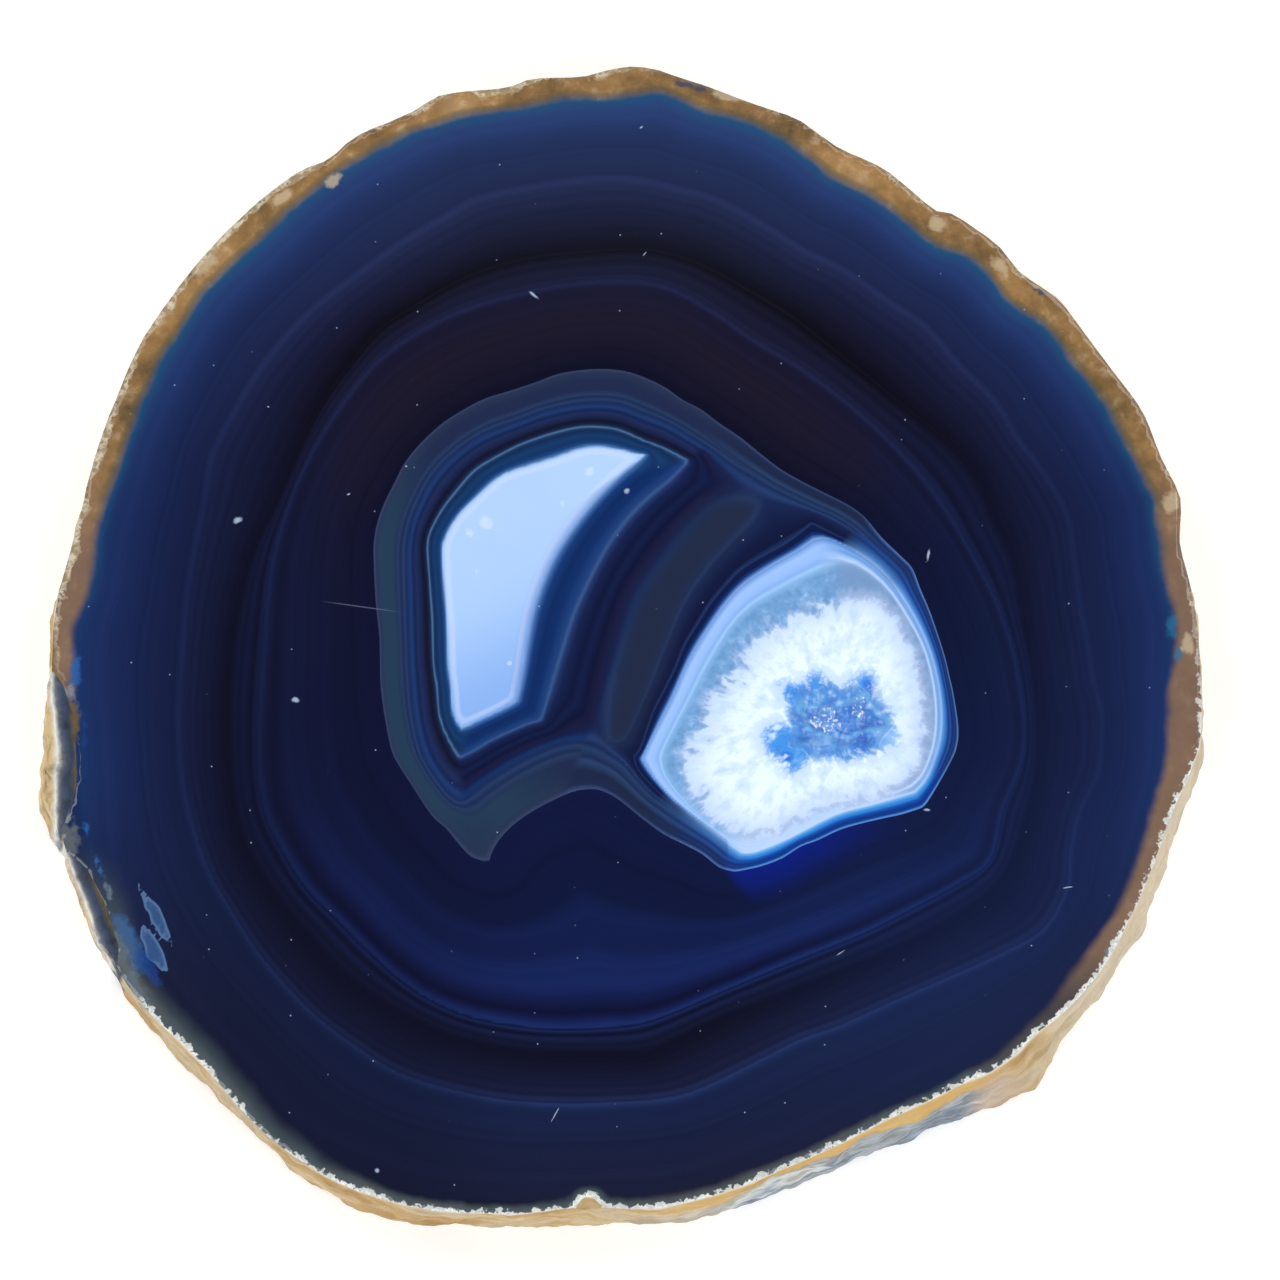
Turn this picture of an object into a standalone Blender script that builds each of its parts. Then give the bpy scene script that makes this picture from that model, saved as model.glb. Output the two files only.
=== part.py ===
# A slice of blue-dyed banded agate, lying on its sawn back face.
# Two solids: the slice itself, with its rough rind, its chipped edge and its little hollow,
# and the crust of quartz crystals that grew in that hollow.
# Metres, +Z up. The origin is the middle of the slice's box, on the surface it lies on.
# The polished front face looks up, and +Y is the top of the slice as it is shown.

import math

import bmesh
import bpy
from mathutils import Matrix, Vector, noise

MM = 0.001

# The slice
THICKNESS = 7.0 * MM
RIM_SAMPLES = 240
BACK_ROUNDING = 0.5 * MM  # how far the sawn back edge is worn in
LUMP_SIZE = 6.5 * MM
LUMP_HEIGHT = 0.45 * MM
GRAIN_SIZE = 2.2 * MM
GRAIN_HEIGHT = 0.22 * MM

# Height of each ring of the rind above the back face, as a share of the thickness
WALL_LEVELS = (0.0, 0.09, 0.26, 0.45, 0.63, 0.8, 0.93, 1.0)

# Brings the middle of the slice's box to the origin
RIM_SHIFT = Vector((0.11, -0.06)) * MM

# The edge of the polished face, in millimetres, anticlockwise from the right
RIM = (
    (54.2, 0.4), (53.6, 4.6), (52.6, 9.2), (52.8, 13.0), (51.2, 16.9), (49.4, 21.4),
    (47.4, 24.4), (45.0, 27.7), (41.5, 32.3), (37.7, 35.4), (36.0, 37.6), (31.8, 40.8),
    (29.6, 41.5), (25.2, 45.2), (20.6, 47.5), (16.8, 50.3), (12.0, 52.1), (6.5, 54.2),
    (1.5, 55.6), (-4.0, 54.6), (-8.3, 54.5), (-11.4, 53.4), (-17.2, 52.8), (-20.0, 51.1),
    (-25.4, 48.7), (-28.2, 46.3), (-31.2, 45.0), (-35.4, 41.6), (-40.1, 36.6), (-43.2, 32.4),
    (-46.3, 27.2), (-48.6, 21.6), (-50.3, 16.0), (-51.7, 9.4), (-53.3, 3.4), (-53.8, -3.6),
    (-53.4, -9.0), (-53.8, -15.4), (-52.1, -20.6), (-48.8, -29.2), (-45.1, -34.9),
    (-39.6, -40.4), (-34.9, -45.9), (-29.9, -50.0), (-24.3, -53.0), (-18.0, -54.6),
    (-10.5, -55.0), (-4.6, -54.5), (3.9, -54.3), (11.8, -52.1), (19.6, -48.8), (25.1, -46.0),
    (31.0, -43.1), (35.3, -41.1), (39.3, -37.5), (42.9, -34.5), (46.1, -29.9), (49.4, -23.2),
    (51.7, -16.8), (54.2, -10.8), (54.5, -5.2),
)

# How far the back edge stands out past the polished face, in millimetres, by angle in degrees
SKIRT = (
    (-180, 0.3), (-170, 1.6), (-165, 1.4), (-158, 0.4), (-142, 0.1), (-136, 1.0), (-127, 0.3),
    (-118, 0.7), (-104, 0.5), (-90, 0.8), (-76, 1.0), (-66, 1.3), (-57, 2.1), (-47, 2.9),
    (-40, 0.9), (-26, 1.3), (-18, 1.0), (-7, 0.2), (10, -0.4), (60, -0.9), (110, -0.9),
    (150, -0.6),
)

# Breaks along the upper edge: middle, half sizes and turn about +Z, in millimetres and degrees
EDGE_BREAKS = (
    ((-55.0, -11.5, 7.4), (4.1, 9.4, 2.2), 2),
    ((-50.3, -27.0, 7.6), (2.6, 7.6, 1.5), 22),
    ((-3.0, -55.6, 7.3), (1.5, 2.3, 1.7), 0),
    ((19.2, 50.2, 7.6), (3.4, 1.6, 1.3), -38),
    ((8.4, 55.0, 7.5), (4.2, 1.3, 1.5), -20),
)

# The hollow
HOLLOW_MIDDLE = Vector((20.4, -8.4)) * MM
HOLLOW_DEPTH = 4.2 * MM
HOLLOW_RISES = (90, 66, 42, 20)  # degrees up from its floor, where its rings lie
CUT_CLEARANCE = 0.6 * MM
# Its mouth, in millimetres from its middle: the notches are the gaps between crystal tips
MOUTH = (
    (5.4, -0.2), (4.3, 1.2), (4.1, 3.0), (2.7, 2.7), (1.5, 3.9), (0.4, 2.9), (-1.0, 4.1),
    (-1.9, 2.8), (-3.7, 3.3), (-3.9, 1.6), (-5.2, 0.9), (-4.3, -0.7), (-4.7, -2.4),
    (-3.2, -2.6), (-2.3, -3.9), (-0.7, -3.0), (0.9, -4.1), (1.9, -2.9), (3.6, -3.3), (4.0, -1.7),
)

# The crystal crust
CRUST_GAP = 0.3 * MM
CRUST_WALL = 0.45 * MM
# Rings of crystals: degrees up from the floor of the bowl, and how many
CRYSTAL_RINGS = ((0, 1), (32, 6), (58, 11), (82, 16))
CRYSTAL_WIDTH = 1.5 * MM
CRYSTAL_LENGTH = 1.3 * MM
CRYSTAL_BURIED = 0.4 * MM
CRYSTAL_LEAN = 9  # degrees, the most that one leans away from the bowl's middle


def clear_scene():
    for obj in list(bpy.data.objects):
        bpy.data.objects.remove(obj, do_unlink=True)


def finish(name, colour, roughness, transmission=0.0):
    material = bpy.data.materials.new(name)
    material.use_nodes = True
    shader = material.node_tree.nodes["Principled BSDF"]
    shader.inputs["Base Color"].default_value = (*colour, 1.0)
    shader.inputs["Roughness"].default_value = roughness
    shader.inputs["Metallic"].default_value = 0.0
    shader.inputs["IOR"].default_value = 1.54
    shader.inputs["Transmission Weight"].default_value = transmission
    material.diffuse_color = (*colour, 1.0)
    return material


def object_from(name, mesh_maker, material=None):
    mesh = bpy.data.meshes.new(name)
    shape = bmesh.new()
    mesh_maker(shape)
    bmesh.ops.recalc_face_normals(shape, faces=shape.faces)
    shape.to_mesh(mesh)
    shape.free()
    obj = bpy.data.objects.new(name, mesh)
    bpy.context.scene.collection.objects.link(obj)
    if material:
        mesh.materials.append(material)
    return obj


def helper(name, mesh_maker):
    obj = object_from(name, mesh_maker)
    obj.hide_render = True
    obj.display_type = "WIRE"
    return obj


def boolean(obj, operation, other, overlapping=False):
    modifier = obj.modifiers.new(f"{operation.lower()} {other.name}", "BOOLEAN")
    modifier.operation = operation
    modifier.object = other
    modifier.solver = "EXACT"
    modifier.use_self = overlapping


# One span of a smooth closed line through four neighbouring points.
def between(before, start, end, after, share):
    return 0.5 * (
        2 * start
        + (end - before) * share
        + (2 * before - 5 * start + 4 * end - after) * share**2
        + (3 * start - before - 3 * end + after) * share**3
    )


# A smooth closed line through the points, at evenly spaced places.
def smooth_loop(points, samples):
    steps = 12
    count = len(points)
    fine = [
        between(points[i - 1], points[i], points[(i + 1) % count], points[(i + 2) % count], s / steps)
        for i in range(count)
        for s in range(steps)
    ]
    lengths = [0.0]
    for i, point in enumerate(fine):
        lengths.append(lengths[-1] + (fine[(i + 1) % len(fine)] - point).length)
    loop, span = [], 0
    for sample in range(samples):
        wanted = lengths[-1] * sample / samples
        while lengths[span + 1] < wanted:
            span += 1
        share = (wanted - lengths[span]) / (lengths[span + 1] - lengths[span])
        loop.append(fine[span].lerp(fine[(span + 1) % len(fine)], share))
    return loop


def outward_at(loop, i):
    along = loop[(i + 1) % len(loop)] - loop[i - 1]
    return Vector((along.y, -along.x)).normalized()


# The skirt at an angle in degrees, eased between the places where it is given.
def skirt_at(angle):
    wrapped = SKIRT + ((SKIRT[0][0] + 360, SKIRT[0][1]),)
    for (low, first), (high, second) in zip(wrapped, wrapped[1:]):
        if low <= angle <= high:
            share = (angle - low) / (high - low)
            share = share * share * (3 - 2 * share)
            return (first + (second - first) * share) * MM
    return SKIRT[0][1] * MM


def roughness_at(place):
    lumps = noise.noise(place / LUMP_SIZE) * LUMP_HEIGHT
    grain = noise.noise(place / GRAIN_SIZE + Vector((7.0, 3.0, 1.0))) * GRAIN_HEIGHT
    return lumps + grain


# A point of the rind: share 0 is the back edge and 1 the edge of the polished face.
def rind_point(edge, outward, share):
    angle = math.degrees(math.atan2(edge.y, edge.x))
    out = skirt_at(angle) * (1 - share) ** 0.7
    if share == 0.0:
        out -= BACK_ROUNDING
    place = Vector((edge.x, edge.y, share * THICKNESS))
    weight = 0.35 if share == 1.0 else 1.0
    out += roughness_at(place) * weight
    place.x += outward.x * out
    place.y += outward.y * out
    return place


def slice_body(shape):
    loop = smooth_loop([Vector(p) * MM + RIM_SHIFT for p in RIM], RIM_SAMPLES)
    rings = [
        [shape.verts.new(rind_point(p, outward_at(loop, i), share)) for i, p in enumerate(loop)]
        for share in WALL_LEVELS
    ]
    for lower, upper in zip(rings, rings[1:]):
        for i in range(RIM_SAMPLES):
            j = (i + 1) % RIM_SAMPLES
            shape.faces.new((lower[i], lower[j], upper[j], upper[i]))
    shape.faces.new(rings[0])
    shape.faces.new(rings[-1])


def edge_break(middle, half_sizes, turn):
    def rounded_bite(shape):
        bmesh.ops.create_icosphere(shape, subdivisions=2, radius=1.0)
        sizes = Matrix.Diagonal((*[size * MM for size in half_sizes], 1.0))
        place = Matrix.Translation(Vector(middle) * MM) @ Matrix.Rotation(math.radians(turn), 4, "Z")
        bmesh.ops.transform(shape, matrix=place @ sizes, verts=shape.verts)

    return rounded_bite


# The mouth's outline, drawn in by a margin measured square to its sides.
def drawn_in(margin):
    corners = [Vector(p) * MM for p in MOUTH]
    outline = []
    for i, corner in enumerate(corners):
        before = (corner - corners[i - 1]).normalized()
        after = (corners[(i + 1) % len(corners)] - corner).normalized()
        inward = Vector((-before.y - after.y, before.x + after.x)).normalized()
        outline.append(corner + inward * margin / inward.dot(Vector((-before.y, before.x))))
    return outline


# The hollow's form: upright at the mouth, and rounded in to a deepest point.
def hollow_form(margin, top):
    def rounded_pit(shape):
        outline = drawn_in(margin)
        levels = [(1.0, top)]
        for rise in HOLLOW_RISES:
            height = THICKNESS - (HOLLOW_DEPTH - margin) * math.cos(math.radians(rise))
            levels.append((math.sin(math.radians(rise)), height))
        if top == THICKNESS:
            levels.pop(0)
        rings = [
            [shape.verts.new((*(HOLLOW_MIDDLE + corner * share), height)) for corner in outline]
            for share, height in levels
        ]
        deepest = shape.verts.new((*HOLLOW_MIDDLE, THICKNESS - HOLLOW_DEPTH + margin))
        for i in range(len(outline)):
            j = (i + 1) % len(outline)
            for upper, lower in zip(rings, rings[1:]):
                shape.faces.new((lower[i], lower[j], upper[j], upper[i]))
            shape.faces.new((deepest, rings[-1][j], rings[-1][i]))
        shape.faces.new(rings[0])

    return rounded_pit


# How far an outline reaches from its middle in one direction.
def reach(outline, direction):
    for i, start in enumerate(outline):
        along = outline[(i + 1) % len(outline)] - start
        turn = direction.cross(along)
        share = start.cross(direction) / turn
        distance = start.cross(along) / turn
        if 0.0 <= share <= 1.0 and distance > 0.0:
            return distance
    return outline[0].length


# A six-sided quartz point standing along +Z: steep sides below, flatter faces at its tip.
def add_crystal(shape, place, width, length):
    rings = []
    for height, share in ((0.0, 1.0), (length * 0.52, 0.68)):
        ring = []
        for side in range(6):
            angle = math.radians(60 * side)
            across = Vector((math.cos(angle), math.sin(angle), 0.0)) * width * share / 2
            ring.append(shape.verts.new(place @ (across + Vector((0.0, 0.0, height)))))
        rings.append(ring)
    tip = shape.verts.new(place @ Vector((width * 0.07, width * 0.04, length)))
    lower, upper = rings
    shape.faces.new(lower[::-1])
    for side in range(6):
        after = (side + 1) % 6
        shape.faces.new((lower[side], lower[after], upper[after], upper[side]))
        shape.faces.new((upper[side], upper[after], tip))


# Crystals stand all over the bowl and point at the middle of its mouth.
def crystals(shape):
    middle = Vector((*HOLLOW_MIDDLE, THICKNESS))
    margin = CRUST_GAP + CRUST_WALL
    outline = drawn_in(margin)
    for ring, (rise, count) in enumerate(CRYSTAL_RINGS):
        for i in range(count):
            chance = noise.noise(Vector((i * 1.7, ring * 3.1, 0.4)))
            other = noise.noise(Vector((i * 2.3, ring * 1.9, 5.8)))
            around = math.tau * (i + 0.6 * chance) / count + ring * 0.4
            up = math.radians(rise + 8 * other)
            side = Vector((math.cos(around), math.sin(around)))
            out = side * reach(outline, side) * math.sin(up)
            foot = middle + Vector((out.x, out.y, (margin - HOLLOW_DEPTH) * math.cos(up)))
            axis = (middle - foot).normalized()
            turn = axis.to_track_quat("Z", "Y").to_matrix().to_4x4()
            lean = Matrix.Rotation(math.radians(CRYSTAL_LEAN) * chance, 4, "X")
            spin = Matrix.Rotation(around * 3, 4, "Z")
            start = Matrix.Translation(foot - axis * CRYSTAL_BURIED)
            width = CRYSTAL_WIDTH * (1 + 0.35 * other)
            length = CRYSTAL_BURIED + CRYSTAL_LENGTH * (1 + 0.5 * chance)
            add_crystal(shape, start @ turn @ lean @ spin, width, length)


def build_slice():
    stone = finish("dyed banded agate", (0.02, 0.045, 0.16), 0.12)
    body = object_from("agate_slice", slice_body, stone)
    for number, bite in enumerate(EDGE_BREAKS, start=1):
        boolean(body, "DIFFERENCE", helper(f"edge break {number}", edge_break(*bite)))
    boolean(body, "DIFFERENCE", helper("hollow", hollow_form(0.0, THICKNESS + CUT_CLEARANCE)))
    return body


def build_crust():
    quartz = finish("blue-dyed quartz", (0.16, 0.42, 0.85), 0.08, 0.3)
    crust = object_from("hollow_crystals", hollow_form(0.0, THICKNESS + CUT_CLEARANCE), quartz)
    bowl = hollow_form(CRUST_GAP + CRUST_WALL, THICKNESS + 2 * CUT_CLEARANCE)
    boolean(crust, "DIFFERENCE", helper("crust bowl", bowl))
    boolean(crust, "UNION", helper("crystal points", crystals), overlapping=True)
    boolean(crust, "INTERSECT", helper("crust limit", hollow_form(CRUST_GAP, THICKNESS)))
    return crust


clear_scene()
build_slice()
build_crust()
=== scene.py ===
import math
import bpy
import bmesh
import numpy as np
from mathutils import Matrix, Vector, kdtree, noise


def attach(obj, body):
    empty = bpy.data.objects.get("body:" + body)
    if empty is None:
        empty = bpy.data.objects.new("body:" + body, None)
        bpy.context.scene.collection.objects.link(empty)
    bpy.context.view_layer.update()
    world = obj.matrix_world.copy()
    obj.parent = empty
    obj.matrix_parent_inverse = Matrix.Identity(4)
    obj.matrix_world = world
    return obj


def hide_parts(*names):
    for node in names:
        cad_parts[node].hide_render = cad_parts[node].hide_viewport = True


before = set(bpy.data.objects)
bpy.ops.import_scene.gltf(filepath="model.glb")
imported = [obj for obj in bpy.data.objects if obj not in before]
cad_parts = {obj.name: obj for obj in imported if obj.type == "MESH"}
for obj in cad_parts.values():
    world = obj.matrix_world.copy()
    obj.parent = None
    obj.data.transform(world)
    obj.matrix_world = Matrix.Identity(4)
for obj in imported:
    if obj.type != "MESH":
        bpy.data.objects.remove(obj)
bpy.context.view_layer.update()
mm = 0.001
print("agate slice: frame loaded")


# Colours are written as on a screen, 0 to 255
def tone(red, green, blue):
    def linear(value):
        share = value / 255
        return share / 12.92 if share <= 0.04045 else ((share + 0.055) / 1.055) ** 2.4
    return (linear(red), linear(green), linear(blue), 1.0)


# Outlines of the bands on the polished face, in millimetres. A third number 1 marks a sharp corner.
outlines = {
    "nucleus": [
        (-23.4, 7.1), (-23.2, 3.3), (-22.8, -0.6), (-22.7, -4.5), (-22.5, -6.4), (-22.2, -8.3),
        (-21.6, -11.2), (-20.8, -12.8), (-19.7, -14.5), (-17.8, -17.4), (-16.4, -18.7), (-15.2, -20.2),
        (-14, -21.4), (-12.4, -21.9, 1), (-12.1, -20.9), (-11.4, -19.7), (-10.3, -18.5), (-8.9, -17.4),
        (-7.2, -16.4), (-5.8, -15.7), (-4.3, -15.1), (-2.6, -14.9), (-1.3, -15.3), (-0, -16.1),
        (1.2, -17.1), (2.7, -18.3), (4.1, -19.3), (6.1, -20.3), (7.7, -21.2), (9.2, -22.4),
        (10.7, -22.8, 1), (13, -22.3), (15.1, -21.5), (16.8, -20.4), (18.4, -19.8), (20.5, -18.8),
        (22.5, -18.2), (24.6, -17.7), (26.4, -17.3), (28.2, -16.7, 1), (28.7, -16.2), (29.8, -14.4),
        (30.9, -12.4), (31.5, -11), (31.7, -9.1), (31.3, -6), (30.9, -4.1), (30.4, -1.9), (29.2, 1.9),
        (28.2, 4.4), (27.5, 6.3), (26.4, 7.5), (24.6, 9.3), (23, 11.3), (21.4, 12.5), (19.3, 13.6),
        (17, 14.8), (15, 16), (13, 17.6), (11.2, 19.1), (9.3, 20.4), (7.5, 21.8), (5.8, 22.7), (4, 24),
        (1.9, 25), (0.3, 25.5), (-1.6, 25.7), (-3.9, 25.6), (-6.1, 25.2), (-7.9, 24.5), (-10.5, 23.6),
        (-13, 22.8), (-15.2, 21.6), (-17, 20.4), (-19, 18.5), (-20.5, 16.6), (-21.5, 14.6),
        (-22.5, 12.5), (-23.1, 10.7), (-23.4, 8.8),
    ],
    "mantleInner": [
        (-20.2, 7.1), (-20.1, 3.3), (-20, -0.6), (-19.8, -4.5), (-19.4, -8.3), (-18.5, -11.8),
        (-16.8, -14.5), (-15.6, -15.7), (-14.9, -15.9, 1), (-13.3, -14.5), (-11.4, -13.2),
        (-9.6, -12.1), (-7.8, -11.2), (-6, -10.5), (-4.2, -10.2), (-2.4, -10.5), (-1, -11.4),
        (0.4, -12.4), (1.6, -13.9), (3, -15.4), (4.6, -16.5), (6.6, -17.9), (8.8, -19.5),
        (10.9, -21.5, 1), (13, -21.8), (16.8, -19.9), (22.4, -17.6), (26.4, -16.7), (27.9, -16, 1),
        (29.3, -13.9), (30.5, -11.4), (31, -8.8), (30.7, -6.4), (29.8, -2.5), (28.6, 0.8), (26.8, 4.2),
        (24.4, 7.5), (22.3, 9.7), (20.2, 11.1), (18.2, 12), (15.9, 13.1), (14.3, 13.9), (12.3, 15.1),
        (10.3, 16.3), (8.2, 17.9), (6.2, 19.2), (4.2, 20.4), (1.9, 21.3), (-0.1, 22.1), (-2, 22.3),
        (-3.9, 22.2), (-6.1, 21.8), (-7.9, 21.3), (-9.6, 20.6), (-11.5, 19.9), (-13, 19.3),
        (-14.3, 18.5), (-15.8, 17.3), (-17.2, 15.9), (-18.3, 14.3), (-19.1, 12.6), (-19.7, 11),
        (-20.1, 9.1),
    ],
    "lensLine": [
        (-18.2, 7.1), (-18, 5.1), (-17.8, 2.3), (-17.7, -0.6), (-17.6, -2.8), (-17.3, -4.9),
        (-17.1, -7.1), (-16.8, -8.6), (-16.1, -10.2), (-15.2, -11.8, 1), (-13.9, -11.2),
        (-12.3, -10.2), (-10.6, -9.4), (-8.8, -8.6), (-7.6, -8.3, 1), (-6.7, -5), (-5.9, -2.3),
        (-4.7, 1.6), (-3.6, 4.2), (-2.3, 6.9), (-1, 9.2), (0.8, 11.6), (2.7, 13.5), (4.4, 14.9),
        (6.3, 16.7, 1), (4.8, 17.5), (3.7, 18), (2.1, 18.6), (0.2, 19.5), (-1.4, 19.9), (-3.4, 20),
        (-5.2, 19.7), (-7.3, 19.1), (-9.7, 18.2), (-11.9, 17), (-13.8, 15.8), (-15.2, 14.2),
        (-16.6, 12.4), (-17.5, 10.9), (-18.2, 9.2),
    ],
    "lens": [
        (-16.9, 7.9), (-16.7, 4.1), (-16.4, 0.5), (-16.3, -3.2), (-16, -5.6), (-15.8, -7.8),
        (-15.1, -9.1, 1), (-13.8, -8.5), (-12.5, -7.9), (-11.1, -7.2), (-9.9, -6.5, 1), (-9.7, -5.4),
        (-9.4, -3.8), (-9, -1), (-8.4, 2.3), (-7.3, 5.6), (-6.1, 8.1), (-4.6, 10.4), (-3, 12.5),
        (-1.2, 14.5), (0.6, 16.1), (2.3, 17.3, 1), (1.2, 17.5), (-0.6, 17.9), (-2.2, 18.1),
        (-3.9, 17.9), (-6.1, 17.1), (-8.3, 16.4), (-10.5, 15.7), (-11.9, 14.9), (-13.6, 13.3),
        (-15.2, 11.7), (-16.1, 10.4), (-16.7, 9.1),
    ],
    "eyeLine": [
        (18, 10.7, 1), (17, 9.8), (15.2, 8.5), (13.2, 7.4), (11.2, 6.1), (9.8, 4.6), (8.5, 3),
        (7.2, 0.9), (6, -1.1), (5.1, -3.4), (4, -5.6), (3, -7.6), (1.9, -11), (1.2, -11.8, 1),
        (1.6, -13.1), (3.1, -14.8), (4.6, -16.3), (6.6, -17.9), (8.8, -19.4), (11.1, -21.3, 1),
        (14.9, -20.5), (18.6, -19), (23.3, -17.3), (26.9, -16.4), (27.9, -15.8, 1), (29.2, -13.8),
        (30.3, -11.3), (30.7, -8.8), (30.5, -6.2), (29.6, -2.7), (28.4, 0.6), (27, 3), (25.2, 5.2),
        (23.4, 7.5), (21.8, 8.7), (20.2, 9.5),
    ],
    "eyeEdge": [
        (19, 9.3), (16.6, 8), (13.7, 6.3), (10.9, 4.2), (8.4, 0.9), (6.3, -2.6), (4.7, -6.3),
        (3.1, -9.5), (1.9, -12, 1), (3.1, -13.9), (5.1, -16.1), (8.6, -18.8), (11.3, -20.9, 1),
        (12.6, -20.8), (15.8, -19.5), (20, -17.3), (23.6, -16.3), (27.5, -15.1, 1), (28.8, -13.5),
        (29.9, -10), (30, -6.3), (29.2, -2.1), (27.6, 1.6), (25.1, 5.4), (22.2, 7.9),
    ],
    "eyeRing": [
        (20.6, 6.6), (15, 4.2), (11.2, 1.6), (8.5, -2.5), (6.5, -6.4), (4.8, -9.7), (3.9, -12.1),
        (4.8, -14.5), (7.4, -17.4), (10.2, -19.6), (12.6, -20.1), (15.8, -18.8), (20, -16.7),
        (23.6, -15.7), (26.9, -14.4), (28.3, -12.8), (29.2, -10), (29.3, -6.3), (28.5, -2.1),
        (26.9, 1.2), (24.4, 4.7),
    ],
    "quartz": [
        (23.5, 3.7), (21.1, 3.3), (18.7, 2.5), (15.4, 1.3), (13.5, -0.1), (12.1, -1.6), (10.7, -3.7),
        (9.5, -4.9), (8.6, -6.4), (7.9, -8.8), (6.9, -10.2), (6.1, -12.3), (6.6, -14.5), (8.8, -17.4),
        (10.7, -18.8), (12.1, -19.3), (14.4, -19.1), (16.8, -17.9), (19.6, -16.7), (23.3, -16),
        (26.6, -14.5), (28.3, -12.3), (28.8, -8.3), (28.3, -4.5), (27.4, -1.1), (25.8, 1.8),
    ],
    "blueHeart": [
        (15.2, -5.1), (16.3, -5.2), (17.4, -4.8), (18.4, -4.1), (19.4, -4.9), (20.9, -5.4), (22.1, -4.6),
        (23.4, -4.1), (23.6, -6.1), (24.9, -7.4), (25.6, -8.7), (25.5, -10.4), (24.3, -11),
        (23.1, -11.3), (21.7, -11.7), (19.1, -11.9), (17.4, -12.1), (16.2, -13.1), (15.3, -12.1),
        (14, -11.2), (13.8, -9.4), (14.9, -9.1), (15.7, -8.8), (16.1, -8.2), (15.9, -6.8),
    ],
    "pool": [
        (16.7, -6.9), (18, -6.7), (19.3, -7), (20.6, -6.6), (21.8, -6.2), (23, -5.7, 1), (23.6, -6.9),
        (24.7, -7.9), (25.2, -8.7, 1), (24, -8.9), (22.8, -9), (21.6, -9.7), (20.2, -9.4), (18.6, -9.3),
        (17.6, -8.7), (17.4, -7.8),
    ],
    "stripe": [
        (10.8, 12.6), (8.9, 12), (7.4, 10.8), (5.9, 9.1), (4.4, 7.1), (2.9, 5), (1.8, 3.3), (1, 0.8),
        (0.3, -1.6), (-0.3, -4), (-0.7, -6.4), (-0.9, -8.3), (-0.9, -10, 1), (0.1, -10), (1, -8.5),
        (1.9, -6.4), (2.9, -4), (3.6, -2), (4.4, -0.1), (5.3, 2.3), (6.5, 4.5), (8.2, 6.9),
        (10.1, 9.1), (12, 11.2), (12.4, 12.4, 1),
    ],
    "fineLine": [
        (-40.2, 8), (-39.4, 12.8), (-38.7, 17.3), (-36.9, 21), (-34.4, 25.5), (-30.5, 30.4),
        (-27.5, 33.1), (-23.5, 36.1), (-20.9, 38), (-16.5, 40.6), (-13.6, 42.3), (-7.8, 43.7),
        (-2.2, 44.4), (1.8, 44.2), (5.5, 43.3), (9.1, 42.3), (13.9, 39.5), (17.5, 37.1), (21.2, 35.3),
        (25.2, 32.4), (28.9, 29.8), (32.1, 25.9), (35.3, 22.5), (37.5, 18.8), (40, 15.4), (42.1, 11.7),
        (42.7, 7.9), (43.1, 3.3), (43.8, -0.6), (44.4, -4.5), (45.2, -8.3), (44.7, -13.2), (42.9, -17),
        (42, -21.2), (41.8, -24.1), (39.6, -28.3), (35.6, -30.6), (31.5, -32.5), (25.8, -35),
        (20.7, -37.3), (16.6, -38.8), (12.1, -41.1), (7.3, -43.4), (3.6, -44.3), (-0.1, -44.6),
        (-4.2, -44.8), (-9.7, -44.7), (-15.3, -43.7), (-20.8, -41.9), (-24.5, -39.6), (-28.3, -36.7),
        (-30.9, -34), (-33.9, -30.6), (-36.1, -27.2), (-38.3, -23.4), (-40, -18.8), (-41.1, -14),
        (-41.5, -8.3), (-41.3, -2.5), (-40.9, 3.3),
    ],
    "darkRing": [
        (-2.2, 37.4), (-9.6, 36.5), (-15.1, 34.6), (-19.5, 32), (-23.1, 29.6), (-26, 25.9),
        (-28.5, 22.2), (-30.4, 18), (-32.5, 12.8), (-34.6, 8.6), (-36, 3.8), (-37, -2.5),
        (-37.2, -8.3), (-36.6, -15.9), (-35.5, -20.4), (-33.3, -24.2), (-30.2, -28.3), (-26.5, -32.5),
        (-23.4, -34.8), (-19, -37.3), (-15.3, -38.8), (-9.7, -40), (-4.2, -40.2), (1.8, -40.2),
        (4.7, -39.2), (9.1, -37), (14.7, -34.8), (20.4, -32.5), (25.9, -30.2), (31.5, -27.2),
        (35.3, -24.2), (37.5, -19.7), (39, -13.9), (39.1, -8.3), (38.8, -3.7), (38, 0.8), (37.2, 7.1),
        (35.6, 10.9), (33.8, 15.4), (30.9, 18.8), (27.3, 21.8), (23.7, 24.8), (20, 27.8), (16.4, 30.8),
        (12.7, 33.1), (9.1, 35.3), (5.4, 36.9), (1.8, 37.6),
    ],
    "twinLine": [
        (1.8, 34.4), (5.4, 33.4), (9.1, 31.2), (12.7, 28.5), (17, 25.9), (21.8, 22.2), (26.5, 17.7),
        (30.1, 13.1), (32.9, 8.1), (35.3, 3.3), (36.7, -0.6), (37.4, -3.7), (38, -8.3), (37.6, -12.4),
        (35.7, -17), (34.6, -21.5), (31.5, -23.8), (25.9, -26.8), (22.1, -28.7), (16.6, -31),
        (11, -33.3), (5.5, -35.7), (1.8, -37), (-2.3, -37.5), (-7.8, -37.5), (-13.4, -36.7),
        (-17.6, -35), (-20.6, -32.9), (-23.5, -30.2), (-26.5, -27.2), (-29.5, -24.2), (-32.2, -19.7),
        (-33.7, -15.9), (-34.2, -10.1), (-34, -4.5), (-33.6, 1.3), (-33, 7.1), (-31.4, 12.9),
        (-29.3, 17.8), (-26.7, 22.2), (-23.7, 26.1), (-20.1, 29), (-15.4, 31.5), (-9.7, 33.2),
        (-4, 34.2),
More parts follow.
